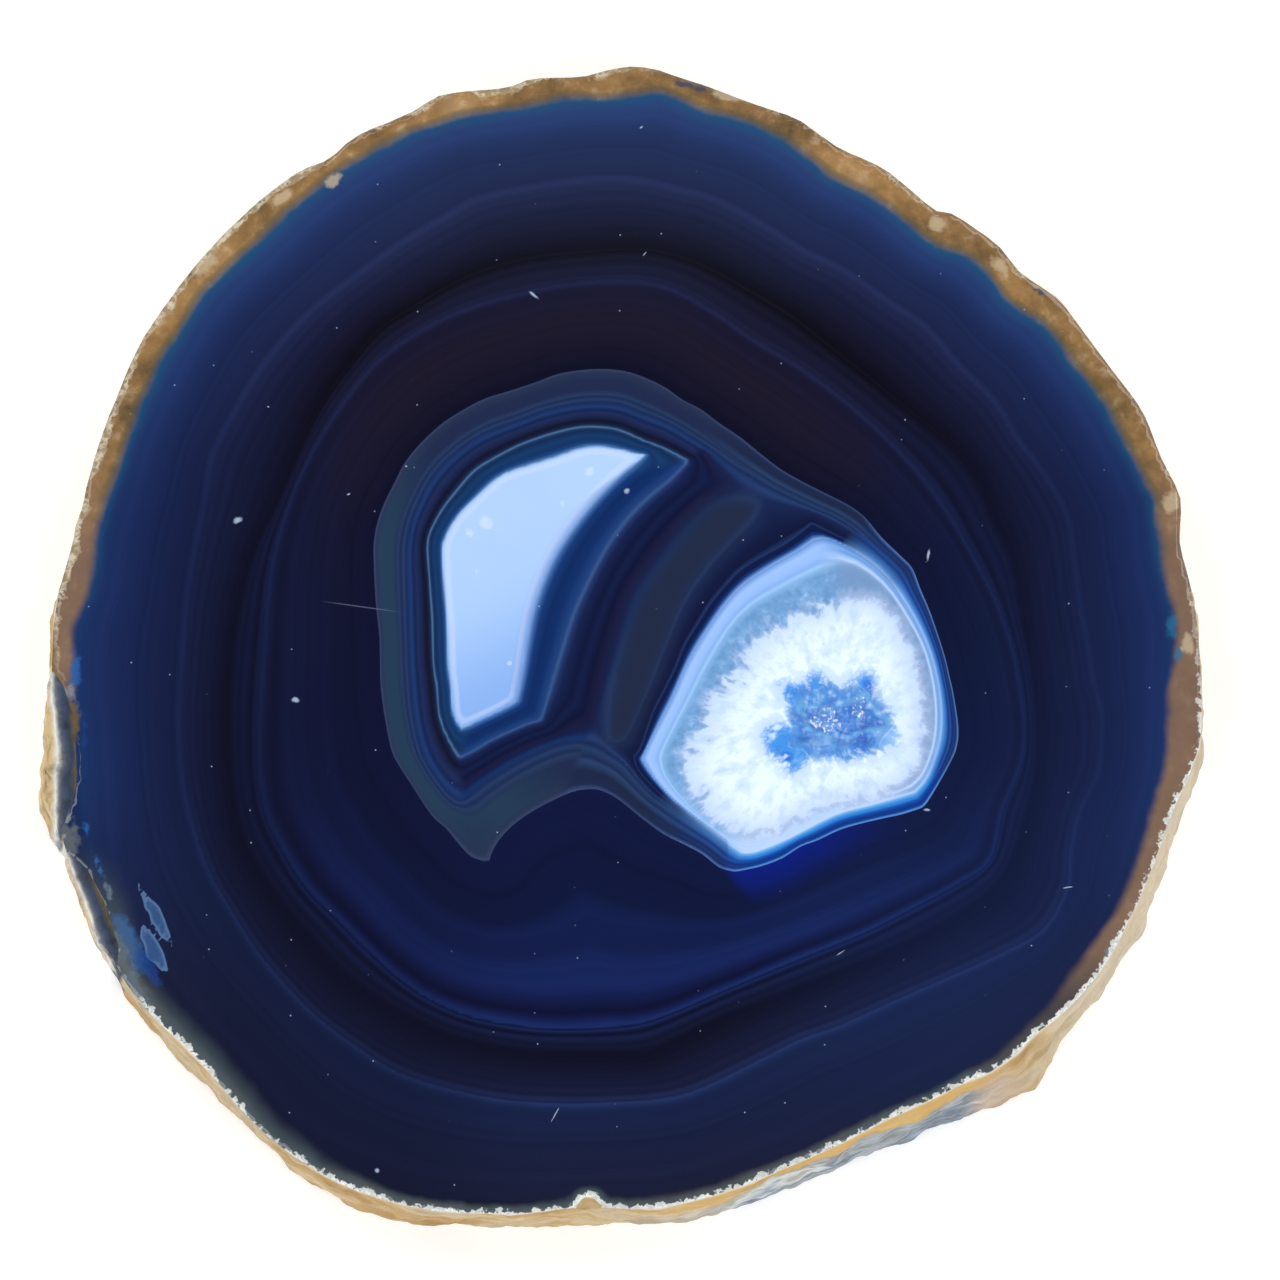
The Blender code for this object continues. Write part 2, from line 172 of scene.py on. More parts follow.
    ],
    "rindInner": [
        (-51.5, 1), (-50.2, 4.6), (-49.5, 10.4), (-47.5, 16.9), (-44.5, 24.9), (-40, 32.9),
        (-35, 37.7), (-30, 42.9), (-25, 46.3), (-20, 49), (-15, 50.6), (-10, 51.5), (-5, 52.4),
        (-0, 52.5), (4, 52.8), (8, 51.1), (12, 50), (15, 48.7), (18, 46.5), (20, 44.7), (24, 42.8),
        (27.2, 40.1), (30, 37.8), (32.7, 36.8), (35, 34.8), (37, 32.2), (40, 30.2), (42, 27.6),
        (44, 24.9), (46, 22), (47.8, 18.2), (49.3, 15.2), (50.5, 12.8), (50.7, 9.9), (51, 7.1),
        (51.6, 4.2), (52.3, 0.7), (51.6, -5.8), (51, -12.8), (49.5, -19.3), (47.5, -24.8),
        (44.5, -30.1), (41, -34.8), (37.8, -38), (33.5, -41.1), (29, -43.6), (22.5, -46.4),
        (16.5, -49.4), (10.2, -51.8), (3.9, -53.5), (-4, -54), (-10.7, -54.4), (-18.5, -53.8),
        (-25.5, -51.4), (-31.7, -48.2), (-36.3, -42.6), (-41.3, -37.4), (-45, -33), (-48, -28),
        (-50, -22.8), (-50.6, -17.8), (-51, -10.8), (-51.6, -4.8),
    ],
    "lensBack": [
        (-12.4, -21.9, 1), (-14.9, -15.9, 1), (-15.2, -11.8, 1), (-13.2, -6), (-11.8, 0), (-9.8, 6),
        (-6.2, 11), (-1, 14.8), (6.3, 16.7, 1), (8.8, 18.2), (14.3, 14.7), (20.2, 11.9), (25, 7.4),
        (28.7, 1), (30.9, -6, 1), (40, -6, 1), (40, -40, 1), (-12.4, -40, 1),
    ],
    "flake": [
        (-45.6, -23, 1), (-44.9, -24.3), (-44.1, -25.3), (-43.3, -26), (-42.7, -27.3), (-42.2, -28.7),
        (-41.8, -30.2, 1), (-42.6, -29.3), (-43.2, -28.9), (-43.5, -28.2), (-44, -27.6), (-44.2, -26.8),
        (-44.6, -26.3), (-44.8, -25.4), (-45.2, -24.7), (-45.3, -24),
    ],
    "smallFlake": [
        (-44.9, -27.7, 1), (-44.3, -28.2), (-43.6, -29), (-42.9, -30.2), (-42.5, -31.3), (-42.3, -32.3, 1),
        (-43, -32.2), (-43.6, -31.5), (-44.4, -31), (-44.6, -29.8), (-45, -29),
    ],
}


# A smooth closed line through the points, straight into and out of its sharp corners
def smoothLine(points, steps=3):
    places = [np.array(p[:2], float) for p in points]
    sharp = [len(p) > 2 for p in points]
    count = len(points)
    line = []
    for i in range(count):
        j = (i + 1) % count
        start, end = places[i], places[j]
        before = start if sharp[i] else places[i - 1]
        after = end if sharp[j] else places[(i + 2) % count]
        for s in range(steps):
            t = s / steps
            line.append(0.5 * (2 * start + (end - before) * t
                               + (2 * before - 5 * start + 4 * end - after) * t ** 2
                               + (3 * start - before - 3 * end + after) * t ** 3))
    return np.array(line)


# Distance in millimetres from each place to the closed line or lines, more than 0 inside them
def insideDistance(places, starts, ends):
    nearest = np.full(len(places), 1e9)
    inside = np.zeros(len(places), bool)
    x, y = places[:, 0], places[:, 1]
    for (ax, ay), (bx, by) in zip(starts, ends):
        dx, dy = bx - ax, by - ay
        share = np.clip(((x - ax) * dx + (y - ay) * dy) / (dx * dx + dy * dy), 0, 1)
        nearest = np.minimum(nearest, (x - ax - share * dx) ** 2 + (y - ay - share * dy) ** 2)
        if ay != by:
            inside ^= ((ay > y) != (by > y)) & (x < ax + dx * (y - ay) / dy)
    return np.where(inside, 1.0, -1.0) * np.sqrt(nearest)


def outlineDistance(places, name):
    line = smoothLine(outlines[name])
    return insideDistance(places, line, np.roll(line, -1, axis=0))


# 0 on the outer line and 1 on the inner one
def between(outer, inner):
    return outer / np.maximum(outer - inner, 1e-4)


def deselectAll():
    for obj in bpy.context.selected_objects:
        obj.select_set(False)


def pick(obj):
    deselectAll()
    obj.select_set(True)
    bpy.context.view_layer.objects.active = obj


def verticesOf(obj):
    places = np.empty(len(obj.data.vertices) * 3)
    obj.data.vertices.foreach_get("co", places)
    return places.reshape(-1, 3)


# Selects the faces of the object in edit mode that the test accepts
def selectFaces(obj, test):
    bpy.ops.mesh.select_mode(type="FACE")
    bpy.ops.mesh.select_all(action="DESELECT")
    shape = bmesh.from_edit_mesh(obj.data)
    for face in shape.faces:
        face.select_set(test(face))
    bmesh.update_edit_mesh(obj.data)


# Node helpers: a socket takes a number, a colour or another node's output
def newNode(tree, kind, **settings):
    node = tree.nodes.new("ShaderNode" + kind)
    for name, value in settings.items():
        setattr(node, name, value)
    return node


def plug(tree, socket, source):
    if isinstance(source, bpy.types.NodeSocket):
        tree.links.new(source, socket)
    else:
        socket.default_value = source


def mathOf(tree, operation, first, second=0.0, clamp=False):
    node = newNode(tree, "Math", operation=operation, use_clamp=clamp)
    plug(tree, node.inputs[0], first)
    plug(tree, node.inputs[1], second)
    return node.outputs[0]


def mixOf(tree, share, first, second, blend="MIX"):
    node = newNode(tree, "Mix", data_type="RGBA", blend_type=blend)
    for index, source in ((0, share), (6, first), (7, second)):
        plug(tree, node.inputs[index], source)
    return node.outputs[2]


def fadeOf(tree, value, low, high):
    node = newNode(tree, "MapRange", interpolation_type="SMOOTHSTEP")
    for index, source in enumerate((value, low, high)):
        plug(tree, node.inputs[index], source)
    return node.outputs[0]


def fieldOf(tree, name):
    return newNode(tree, "Attribute", attribute_name=name).outputs["Fac"]


def rampOf(tree, value, stops, reach=1.0):
    node = newNode(tree, "ValToRGB")
    ramp = node.color_ramp
    for i, (place, colour) in enumerate(stops):
        stop = ramp.elements[i] if i < 2 else ramp.elements.new(0.999)
        stop.position = place / reach
        stop.color = tone(*colour)
    plug(tree, node.inputs[0], mathOf(tree, "DIVIDE", value, reach))
    return node.outputs[0]


def noiseOf(tree, vector, scale, detail=2.0, roughness=0.5, stretch=None, output=0):
    if stretch:
        mapping = newNode(tree, "Mapping")
        mapping.inputs["Scale"].default_value = stretch
        plug(tree, mapping.inputs[0], vector)
        vector = mapping.outputs[0]
    node = newNode(tree, "TexNoise")
    plug(tree, node.inputs["Vector"], vector)
    node.inputs["Scale"].default_value = scale
    node.inputs["Detail"].default_value = detail
    node.inputs["Roughness"].default_value = roughness
    return node.outputs[output]


def newGroup(name, outputs, inputs=()):
    group = bpy.data.node_groups.new(name, "ShaderNodeTree")
    for label, kind in outputs:
        group.interface.new_socket(name=label, in_out="OUTPUT", socket_type="NodeSocket" + kind)
    for label, kind, value in inputs:
        socket = group.interface.new_socket(name=label, in_out="INPUT", socket_type="NodeSocket" + kind)
        socket.default_value = value
    start = group.nodes.new("NodeGroupInput")
    end = group.nodes.new("NodeGroupOutput")
    return group, start, end


def placeGroup(tree, group, **values):
    node = newNode(tree, "Group", node_tree=group)
    for name, value in values.items():
        plug(tree, node.inputs[name], value)
    return node


def newMaterial(name):
    material = bpy.data.materials.new(name)
    material.use_nodes = True
    return material, material.node_tree, material.node_tree.nodes["Principled BSDF"]


# The stone: its size, and how fine its surface is made
stone = {
    "thickness": 7.0 * mm,
    "frontStep": 0.45,      # millimetres between the points of the polished face
    "backStep": 1.1,
    "rindLump": 0.45 * mm,
    "rindGrain": 0.22 * mm,
    "crumbWidth": 0.7,      # millimetres of broken edge round the lower half of the polished face
    "crumbDepth": 0.35 * mm,
    # the chips in the left edge: middle, half width and half length in millimetres, turn in degrees
    "chips": [((-55.0, -11.5), (4.1, 9.4), 2), ((-50.3, -27.0), (2.6, 7.6), 22)],
}


# The open edges of the shape at this height, within the radii
def openEdges(shape, height, least, most):
    return [edge for edge in shape.edges if edge.is_boundary
            and all(abs(v.co.z - height) < 1e-5 for v in edge.verts)
            and least < edge.verts[0].co.xy.length < most]


# The CAD slice without its two flat faces, its rind divided finely
def openBody():
    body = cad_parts["agate_slice"].copy()
    body.data = body.data.copy()
    body.name = "agateSlice"
    bpy.context.scene.collection.objects.link(body)
    pick(body)
    top = stone["thickness"]
    bpy.ops.object.mode_set(mode="EDIT")
    bpy.ops.mesh.select_all(action="SELECT")
    bpy.ops.mesh.remove_doubles(threshold=1e-6)
    selectFaces(body, lambda f: all(v.co.z > top - 1e-5 for v in f.verts) or all(v.co.z < 1e-5 for v in f.verts))
    bpy.ops.mesh.delete(type="FACE")
    selectFaces(body, lambda f: f.calc_center_median().xy.length > 40 * mm)
    bpy.ops.mesh.subdivide(number_cuts=2)
    return body


# A fine flat sheet that stays a little inside the open edges of the body at this height
def fineSheet(body, height, step):
    shape = bmesh.from_edit_mesh(body.data)
    edges = openEdges(shape, height, 0, 1)
    starts, ends = (np.array([edge.verts[i].co.xy / mm for edge in edges]) for i in (0, 1))
    bpy.ops.object.mode_set(mode="OBJECT")
    cells = round(120 / step)
    deselectAll()
    bpy.ops.mesh.primitive_grid_add(x_subdivisions=cells, y_subdivisions=cells, size=120 * mm, location=(0, 0, height))
    bpy.ops.object.transform_apply()
    sheet = bpy.context.object
    kept = insideDistance(verticesOf(sheet)[:, :2] / mm, starts, ends) > step * 0.6
    bpy.ops.object.mode_set(mode="EDIT")
    selectFaces(sheet, lambda f: not all(kept[v.index] for v in f.verts))
    bpy.ops.mesh.delete(type="FACE")
    bpy.ops.mesh.select_all(action="SELECT")
    bpy.ops.mesh.delete_loose()
    bpy.ops.object.mode_set(mode="OBJECT")
    pick(body)
    sheet.select_set(True)
    bpy.ops.object.join()
    bpy.ops.object.mode_set(mode="EDIT")


def cutSlice():
    body = openBody()
    top = stone["thickness"]
    shape = bmesh.from_edit_mesh(body.data)
    mouth = [[v.co.xy / mm for v in edge.verts] for edge in openEdges(shape, top, 0, 0.04)]
    fineSheet(body, top, stone["frontStep"])
    fineSheet(body, 0.0, stone["backStep"])
    for height, least, most in ((top, 0.04, 1), (top, 0, 0.04), (0.0, 0, 1)):
        bpy.ops.mesh.select_mode(type="EDGE")
        bpy.ops.mesh.select_all(action="DESELECT")
        shape = bmesh.from_edit_mesh(body.data)
        for edge in openEdges(shape, height, least, most):
            edge.select_set(True)
        bmesh.update_edit_mesh(body.data)
        bpy.ops.mesh.fill(use_beauty=True)
    selectFaces(body, lambda f: f.normal.z > 0.99 and (f.calc_center_median() - Vector((0.0165, -0.006, top))).length < 0.0168)
    bpy.ops.mesh.subdivide(number_cuts=1)
    bpy.ops.mesh.select_all(action="SELECT")
    bpy.ops.mesh.normals_make_consistent(inside=False)
    bpy.ops.object.mode_set(mode="OBJECT")
    return body, np.array(mouth)


# Distance in millimetres of each vertex from the broken edge of a flat face
def edgeDistance(obj, height):
    flat = {}
    for polygon in obj.data.polygons:
        level = abs(polygon.center.z - height) < 1e-5 and abs(polygon.normal.z) > 0.99
        for key in polygon.edge_keys:
            flat.setdefault(key, []).append(level)
    rim = [key for key, levels in flat.items() if len(levels) == 2 and levels[0] != levels[1]]
    tree = kdtree.KDTree(len(rim))
    for i, (a, b) in enumerate(rim):
        middle = (obj.data.vertices[a].co + obj.data.vertices[b].co) / 2
        inHollow = middle.xy.length < 0.04
        tree.insert(Vector((9, 9, 9)) if inHollow else middle, i)
    tree.balance()
    return np.array([tree.find(v.co)[2] / mm for v in obj.data.vertices])


# Millimetres inside the two long chips that are broken out of the left edge, and across them
def chipDistance(places):
    inside, across = np.full(len(places), -99.0), np.zeros(len(places))
    for (x, y), (wide, long), turn in stone["chips"]:
        dx, dy = places[:, 0] / mm - x, places[:, 1] / mm - y
        c, s = math.cos(math.radians(turn)), math.sin(math.radians(turn))
        side = dx * c + dy * s
        here = (1 - np.hypot(side / wide, (dy * c - dx * s) / long)) * wide
        across = np.where(here > inside, (wide - side) * math.sqrt(4.1 / wide), across)
        inside = np.maximum(inside, here)
    return inside, across


# Lumps and grain on the wall, and a crumbled edge round the polished face
def roughen(obj):
    flat = [abs(polygon.center.z - stone["thickness"]) < 1e-5 and polygon.normal.z > 0.99 for polygon in obj.data.polygons]
    places = verticesOf(obj)
    frameLow, frameHigh = places.min(axis=0), places.max(axis=0)
    normals = np.array([v.normal for v in obj.data.vertices])
    top = stone["thickness"]
    radius = np.hypot(places[:, 0], places[:, 1])
    onWall = (places[:, 2] > 1e-5) & (places[:, 2] < top - 1e-5) & (radius > 40 * mm)
    chip, across = chipDistance(places)
    for i in np.nonzero(onWall)[0]:
        place = Vector(places[i]) / mm
        lump = noise.noise(place / 2.6) * stone["rindLump"]
        grain = noise.noise(place / 0.9) * stone["rindGrain"]
        ease = min(1.0, (top - places[i, 2]) / ((0.3 if chip[i] > 0 else 1.2) * mm))
        places[i] += normals[i] * (lump + grain) * ease
    edge = edgeDistance(obj, top)
    low = np.clip(-places[:, 1] / (12 * mm) + 0.3, 0.25, 1)
    onFace = (places[:, 2] > top - 1e-5) & (edge < stone["crumbWidth"])
    for i in np.nonzero(onFace)[0]:
        place = Vector(places[i]) / mm
        crumb = 0.5 + 0.8 * noise.noise(place / 0.7)
        share = (1 - edge[i] / stone["crumbWidth"]) * low[i]
        places[i, 2] -= max(0.0, crumb) * share * stone["crumbDepth"]
    obj.data.vertices.foreach_set("co", np.clip(places, frameLow, frameHigh).ravel())
    obj.data.update()
    storeField(obj, "edge", edge)
    storeField(obj, "chip", chip)
    storeField(obj, "across", across)
    return flat


def storeField(obj, name, values):
    field = obj.data.attributes.new(name, "FLOAT", "POINT")
    field.data.foreach_set("value", np.asarray(values, np.float32))


# Offsets from the middle of an ellipse, in which its rim is at 1
def fromSpot(places, middle, size, turn):
    dx, dy = places[:, 0] - middle[0], places[:, 1] - middle[1]
    c, s = math.cos(math.radians(turn)), math.sin(math.radians(turn))
    return np.stack(((dx * c + dy * s) * 2 / size[0], (dy * c - dx * s) * 2 / size[1]), axis=1)


# For each colour of the stains, how near the nearest spot is: 0 at its soft rim and 1 in its middle
def storeStains(obj, stains):
    places = verticesOf(obj)[:, :2] / mm
    for name, (colour, strength, spots) in stains.items():
        near = np.full(len(places), -2.0)
        for middle, size, turn in spots:
            near = np.maximum(near, (1.2 - np.hypot(*fromSpot(places, middle, size, turn).T)) / 0.8)
        storeField(obj, name, near)


# The offset from the mark that is near, or a far place
def storeMarks(obj):
    places = verticesOf(obj)[:, :2] / mm
    offsets = np.full((len(places), 3), 9.0)
    for middle, size, turn in marks:
        near = np.hypot(places[:, 0] - middle[0], places[:, 1] - middle[1]) < size[0] / 2 + 0.8
        offsets[near, :2] = fromSpot(places[near], middle, size, turn)
        offsets[near, 2] = 0
    field = obj.data.attributes.new("mark", "FLOAT_VECTOR", "POINT")
    field.data.foreach_set("vector", offsets.astype(np.float32).ravel())


# Every field that the bands are coloured by, measured from the outlines
def storeBands(obj):
    places = verticesOf(obj)[:, :2] / mm
    line = {name: outlineDistance(places, name) for name in outlines}
    rings = ("rindInner", "fineLine", "darkRing", "twinLine", "nucleus")
    outer = np.zeros(len(places))
    for step, (outside, inside) in enumerate(zip(rings, rings[1:])):
        here = (line[outside] > 0) & (line[inside] <= 0)
        outer[here] = step + between(line[outside], line[inside])[here]
    outer[line["nucleus"] > 0] = 4.0
    storeField(obj, "outer", outer)

    toMantle = np.minimum(-line["stripe"], line["mantleInner"])
    nearLens = line["lensLine"] > line["eyeLine"]
    line["heart"] = np.where(nearLens, line["lensLine"], line["eyeLine"])
    line["core"] = np.where(nearLens, line["lens"], line["eyeEdge"])
    mantle = np.maximum(between(line["nucleus"], line["mantleInner"]), -1)
    within = line["mantleInner"] > 0
    mantle[within] = 1 + np.maximum(between(toMantle, line["heart"])[within], 0)
    within = line["heart"] > 0
    mantle[within] = 2 + between(line["heart"], line["core"])[within]
    mantle[line["core"] > 0] = 3
    storeField(obj, "mantle", mantle)
    storeField(obj, "eyeSide", np.clip((line["eyeLine"] - line["lensLine"]) / 1.2 + 0.5, 0, 1))

    width = np.abs(line["nucleus"]) + np.abs(line["eyeEdge"])
    below = (places[:, 0] > 10) & (places[:, 1] < -12)
    limit = np.where(below, 6.0, 3.4)
    storeField(obj, "thin", np.clip((limit - width) / 1.4, 0, 1) * (line["eyeEdge"] > -6))
    storeField(obj, "squeezed", np.clip(between(line["nucleus"], line["eyeEdge"]), -1, 2))
    storeField(obj, "eyeBand", np.clip(between(line["eyeEdge"], line["eyeRing"]), -1, 2))
    storeField(obj, "flakes", np.maximum(line["flake"], line["smallFlake"]))
    storeStains(obj, stains)
    storeStains(obj, heartStains)
    storeMarks(obj)
    for name in ("rindInner", "nucleus", "mantleInner", "stripe", "lens", "lensBack", "eyeEdge", "eyeRing", "quartz", "blueHeart", "pool"):
        storeField(obj, name, line[name])


# The crust of crystals in the hollow
druse = {
    "step": 0.11,           # millimetres between its points
    "margin": 0.35,         # millimetres that it reaches under the polished face
    "middle": (20.4, -8.4),
    "depth": 1.6 * mm,
    "slope": 3.2,           # millimetres from the rim to the full depth
    "pitch": 0.95,          # millimetres between crystals
    "rise": 0.42 * mm,
    "shell": 0.35 * mm,
    # The crystals near these places get painted glints, lightened in their base colour
    "sparks": [((19.6, -8.0), 1.1), ((22.2, -7.0), 0.8)],   # where the crystals glitter, and how widely
}


# Uneven six-sided points, one for each place of a shaken grid
def crystalHeights(places):
    shake = np.random.RandomState(5)
    pitch = druse["pitch"]
    seeds = [np.array(druse["middle"]) + np.array((i, j + (i % 2) * 0.5)) * pitch + shake.uniform(-0.32, 0.32, 2) * pitch
             for i in range(-9, 10) for j in range(-8, 9)]
    turns = shake.uniform(0, math.pi / 3, len(seeds))
    leans = shake.uniform(-0.5, 0.5, (len(seeds), 2))
    tall = shake.uniform(0.55, 1.25, len(seeds))
    shine = [1.0 if any(math.dist(seed, spot) < wide for spot, wide in druse["sparks"]) else shake.uniform(0, 0.66)
             for seed in seeds]
    tree = kdtree.KDTree(len(seeds))
    for i, seed in enumerate(seeds):
        tree.insert((seed[0], seed[1], 0), i)
    tree.balance()
    heights, shines = np.zeros(len(places)), np.zeros(len(places))
    for i, (x, y) in enumerate(places):
        best = -9.0
        for _, index, _ in tree.find_n((x, y, 0), 3):
            dx, dy = x - seeds[index][0], y - seeds[index][1]
            side = max(dx * math.cos(turns[index] + k * math.pi / 3) + dy * math.sin(turns[index] + k * math.pi / 3)
                       for k in range(6))
            height = tall[index] - 1.5 * side / pitch + dx * leans[index][0] + dy * leans[index][1]
            if height > best:
                best, shines[i] = height, shine[index]
        heights[i] = best
    return heights, shines


def growDruse():
    deselectAll()
    centre = Vector((*druse["middle"], 0)) * mm
    cells = round(14 / druse["step"])
    bpy.ops.mesh.primitive_grid_add(x_subdivisions=cells, y_subdivisions=cells, size=14 * mm,
                                    location=(centre.x, centre.y, stone["thickness"]))
    bpy.ops.object.transform_apply()
    crust = bpy.context.object
    crust.name = "blueDruse"
    inside = insideDistance(verticesOf(crust)[:, :2] / mm, mouth[:, 0], mouth[:, 1])
    bpy.ops.object.mode_set(mode="EDIT")
    selectFaces(crust, lambda f: any(inside[v.index] < -druse["margin"] for v in f.verts))
    bpy.ops.mesh.delete(type="FACE")
    bpy.ops.mesh.select_all(action="SELECT")
    bpy.ops.mesh.delete_loose()
    bpy.ops.object.mode_set(mode="OBJECT")
    places = verticesOf(crust)
    inside = insideDistance(places[:, :2] / mm, mouth[:, 0], mouth[:, 1])
    heights, shines = crystalHeights(places[:, :2] / mm)
    share = np.clip(inside / druse["slope"], 0, 1)
    bowl = druse["depth"] * (1 - (1 - share) ** 2)
    amount = np.clip((inside - 0.1) / 1.0, 0, 1)
    places[:, 2] -= 0.03 * mm + bowl - (heights - 0.75) * druse["rise"] * amount
    places[:, 2] = np.minimum(places[:, 2], stone["thickness"] - 0.02 * mm)
    crust.data.vertices.foreach_set("co", places.ravel())
    crust.data.update()
    storeField(crust, "shine", shines)
    storeField(crust, "deep", np.clip(inside / 3.2, 0, 1))
    storeField(crust, "crest", heights)
    pick(crust)
    shell = crust.modifiers.new("crust", "SOLIDIFY")
    shell.thickness = druse["shell"]
    shell.offset = -1
    bpy.ops.object.modifier_apply(modifier=shell.name)
    storeBands(crust)
    storeField(crust, "edge", np.full(len(crust.data.vertices), 99.0))
    storeField(crust, "chip", np.full(len(crust.data.vertices), -99.0))
    return crust


# Bands between the rind and the nucleus, where 0 is the rind, 1 a fine pale line,
# 2 the near-black ring, 3 a pair of fine lines and 4 the nucleus
bands = {
    "high": [
        (0.0, (22, 72, 116)), (0.1, (36, 64, 114)), (0.25, (34, 54, 106)), (0.5, (28, 42, 86)),
        (0.8, (27, 37, 76)), (0.92, (28, 37, 77)), (1.0, (35, 44, 86)), (1.08, (28, 35, 71)),
        (1.3, (24, 28, 60)), (1.6, (20, 21, 46)), (1.82, (15, 14, 33)), (1.97, (9, 7, 20)),
        (2.03, (17, 14, 28)), (2.08, (10, 8, 21)), (2.25, (18, 17, 36)), (2.6, (22, 23, 48)),
        (2.93, (26, 28, 56)), (3.0, (30, 34, 68)), (3.08, (22, 21, 47)), (3.4, (28, 23, 43)),
        (3.75, (23, 20, 41)), (4.0, (12, 13, 38)),
    ],
    "low": [
        (0.0, (18, 24, 44)), (0.08, (24, 28, 54)), (0.3, (24, 30, 60)), (0.7, (23, 32, 66)),
        (0.9, (23, 34, 72)), (0.97, (28, 42, 84)), (1.0, (34, 50, 98)), (1.04, (25, 34, 70)),
        (1.10, (28, 39, 78)), (1.17, (22, 27, 58)), (1.45, (20, 24, 52)), (1.75, (16, 18, 42)),
        (2.0, (12, 13, 34)), (2.2, (15, 17, 43)), (2.4, (16, 22, 50)), (2.6, (20, 28, 64)),
        (2.73, (12, 14, 41)), (2.86, (22, 36, 82)), (2.93, (14, 20, 60)), (2.98, (28, 48, 106)),
        (3.03, (19, 30, 80)), (3.08, (11, 15, 48)), (3.18, (20, 32, 84)), (3.3, (22, 37, 90)),
    ],
    "deepLow": [
        (3.0, (22, 36, 88)), (3.3, (21, 36, 90)), (3.42, (16, 27, 72)), (3.5, (18, 30, 78)),
        (3.6, (13, 22, 60)), (3.8, (14, 22, 60)), (4.0, (15, 23, 64)),
    ],
    "side": [
        (0.0, (26, 50, 98)), (0.3, (26, 42, 90)), (0.8, (20, 30, 67)), (0.95, (22, 32, 70)),
        (1.0, (25, 36, 75)), (1.08, (20, 28, 62)), (1.5, (18, 24, 54)), (1.8, (15, 18, 44)),
        (2.0, (11, 12, 34)), (2.2, (15, 18, 44)), (2.5, (17, 23, 55)), (2.75, (14, 17, 43)),
        (2.9, (18, 26, 60)), (3.0, (23, 33, 71)), (3.1, (15, 19, 48)), (3.25, (16, 23, 55)),
        (3.5, (13, 19, 50)), (4.0, (11, 16, 48)),
    ],
}
# The nucleus, where 0 is its edge, 1 the inside of its grey-green mantle, 2 the fine line
# round the lens or the eye, and 3 the edge of these
nucleus = {
    "mantle": [
        (0.0, (54, 66, 100)), (0.08, (38, 49, 78)), (0.3, (31, 41, 74)), (0.6, (29, 40, 74)),
        (0.72, (36, 55, 92)), (0.79, (25, 40, 76)), (0.88, (34, 56, 98)), (0.95, (24, 40, 80)), (1.0, (23, 44, 88)),
    ],
    "lensSide": [
        (1.0, (25, 46, 92)), (1.12, (28, 54, 106)), (1.25, (18, 32, 74)), (1.38, (28, 42, 86)),
        (1.55, (24, 32, 68)), (1.7, (14, 18, 42)), (1.82, (18, 26, 54)), (1.9, (26, 44, 78)),
        (1.97, (70, 106, 150)), (2.04, (28, 56, 96)), (2.15, (16, 40, 80)), (2.42, (20, 56, 102)),
        (2.6, (17, 48, 94)), (2.78, (24, 62, 116)), (2.9, (62, 104, 160)), (3.0, (146, 178, 226)),
    ],
    "gapSide": [
        (0.9, (24, 46, 88)), (1.06, (18, 46, 96)), (1.18, (18, 28, 68)), (1.3, (23, 25, 60)), (1.42, (12, 18, 52)),
        (1.55, (17, 27, 66)), (1.66, (11, 20, 56)), (1.84, (20, 32, 74)), (1.92, (30, 50, 98)),
        (1.98, (52, 82, 134)), (2.05, (30, 62, 118)), (2.3, (13, 44, 100)), (2.55, (12, 40, 92)),
        (2.76, (20, 54, 112)), (2.9, (58, 100, 164)), (3.0, (112, 148, 210)),
    ],
    "eyeSide": [
        (0.0, (56, 73, 114)), (0.12, (28, 39, 73)), (0.4, (27, 37, 67)), (0.6, (40, 62, 102)),
        (0.68, (26, 40, 76)), (0.85, (36, 58, 98)), (0.95, (22, 38, 80)), (1.08, (36, 58, 104)), (1.2, (22, 36, 78)),
        (1.6, (15, 25, 62)), (1.85, (13, 21, 56)), (1.94, (26, 42, 86)), (2.0, (32, 50, 96)),
        (2.08, (14, 26, 68)), (2.4, (11, 24, 68)), (2.66, (22, 54, 114)), (2.86, (76, 120, 186)),
        (3.0, (144, 180, 236)),
    ],
    "squeezed": [
        (0.0, (92, 134, 200)), (0.07, (58, 88, 146)), (0.14, (20, 40, 92)), (0.24, (30, 58, 118)),
        (0.32, (18, 40, 98)), (0.45, (34, 76, 150)), (0.55, (20, 54, 128)), (0.68, (52, 104, 176)),
        (0.78, (70, 126, 198)), (0.86, (92, 146, 214)), (0.94, (138, 182, 236)), (1.0, (168, 202, 246)),
    ],
    "squeezedLow": [
        (0.0, (96, 150, 214)), (0.07, (66, 124, 200)), (0.15, (18, 56, 134)), (0.32, (14, 52, 132)),
        (0.5, (22, 80, 168)), (0.6, (44, 120, 204)), (0.72, (58, 138, 216)), (0.86, (110, 172, 232)), (1.0, (196, 220, 248)),
    ],
    "eyeBand": [
        (0.0, (84, 124, 190)), (0.1, (122, 162, 224)), (0.26, (156, 192, 248)), (0.55, (148, 186, 245)),
        (0.74, (132, 174, 232)), (0.86, (154, 196, 242)), (1.0, (128, 174, 224)),
    ],
    "eyeRight": [
        (0.0, (56, 104, 178)), (0.2, (110, 158, 222)), (0.34, (96, 144, 208)), (0.5, (150, 188, 236)),
        (0.66, (186, 210, 244)), (0.84, (124, 156, 202)), (1.0, (116, 148, 192)),
    ],
}
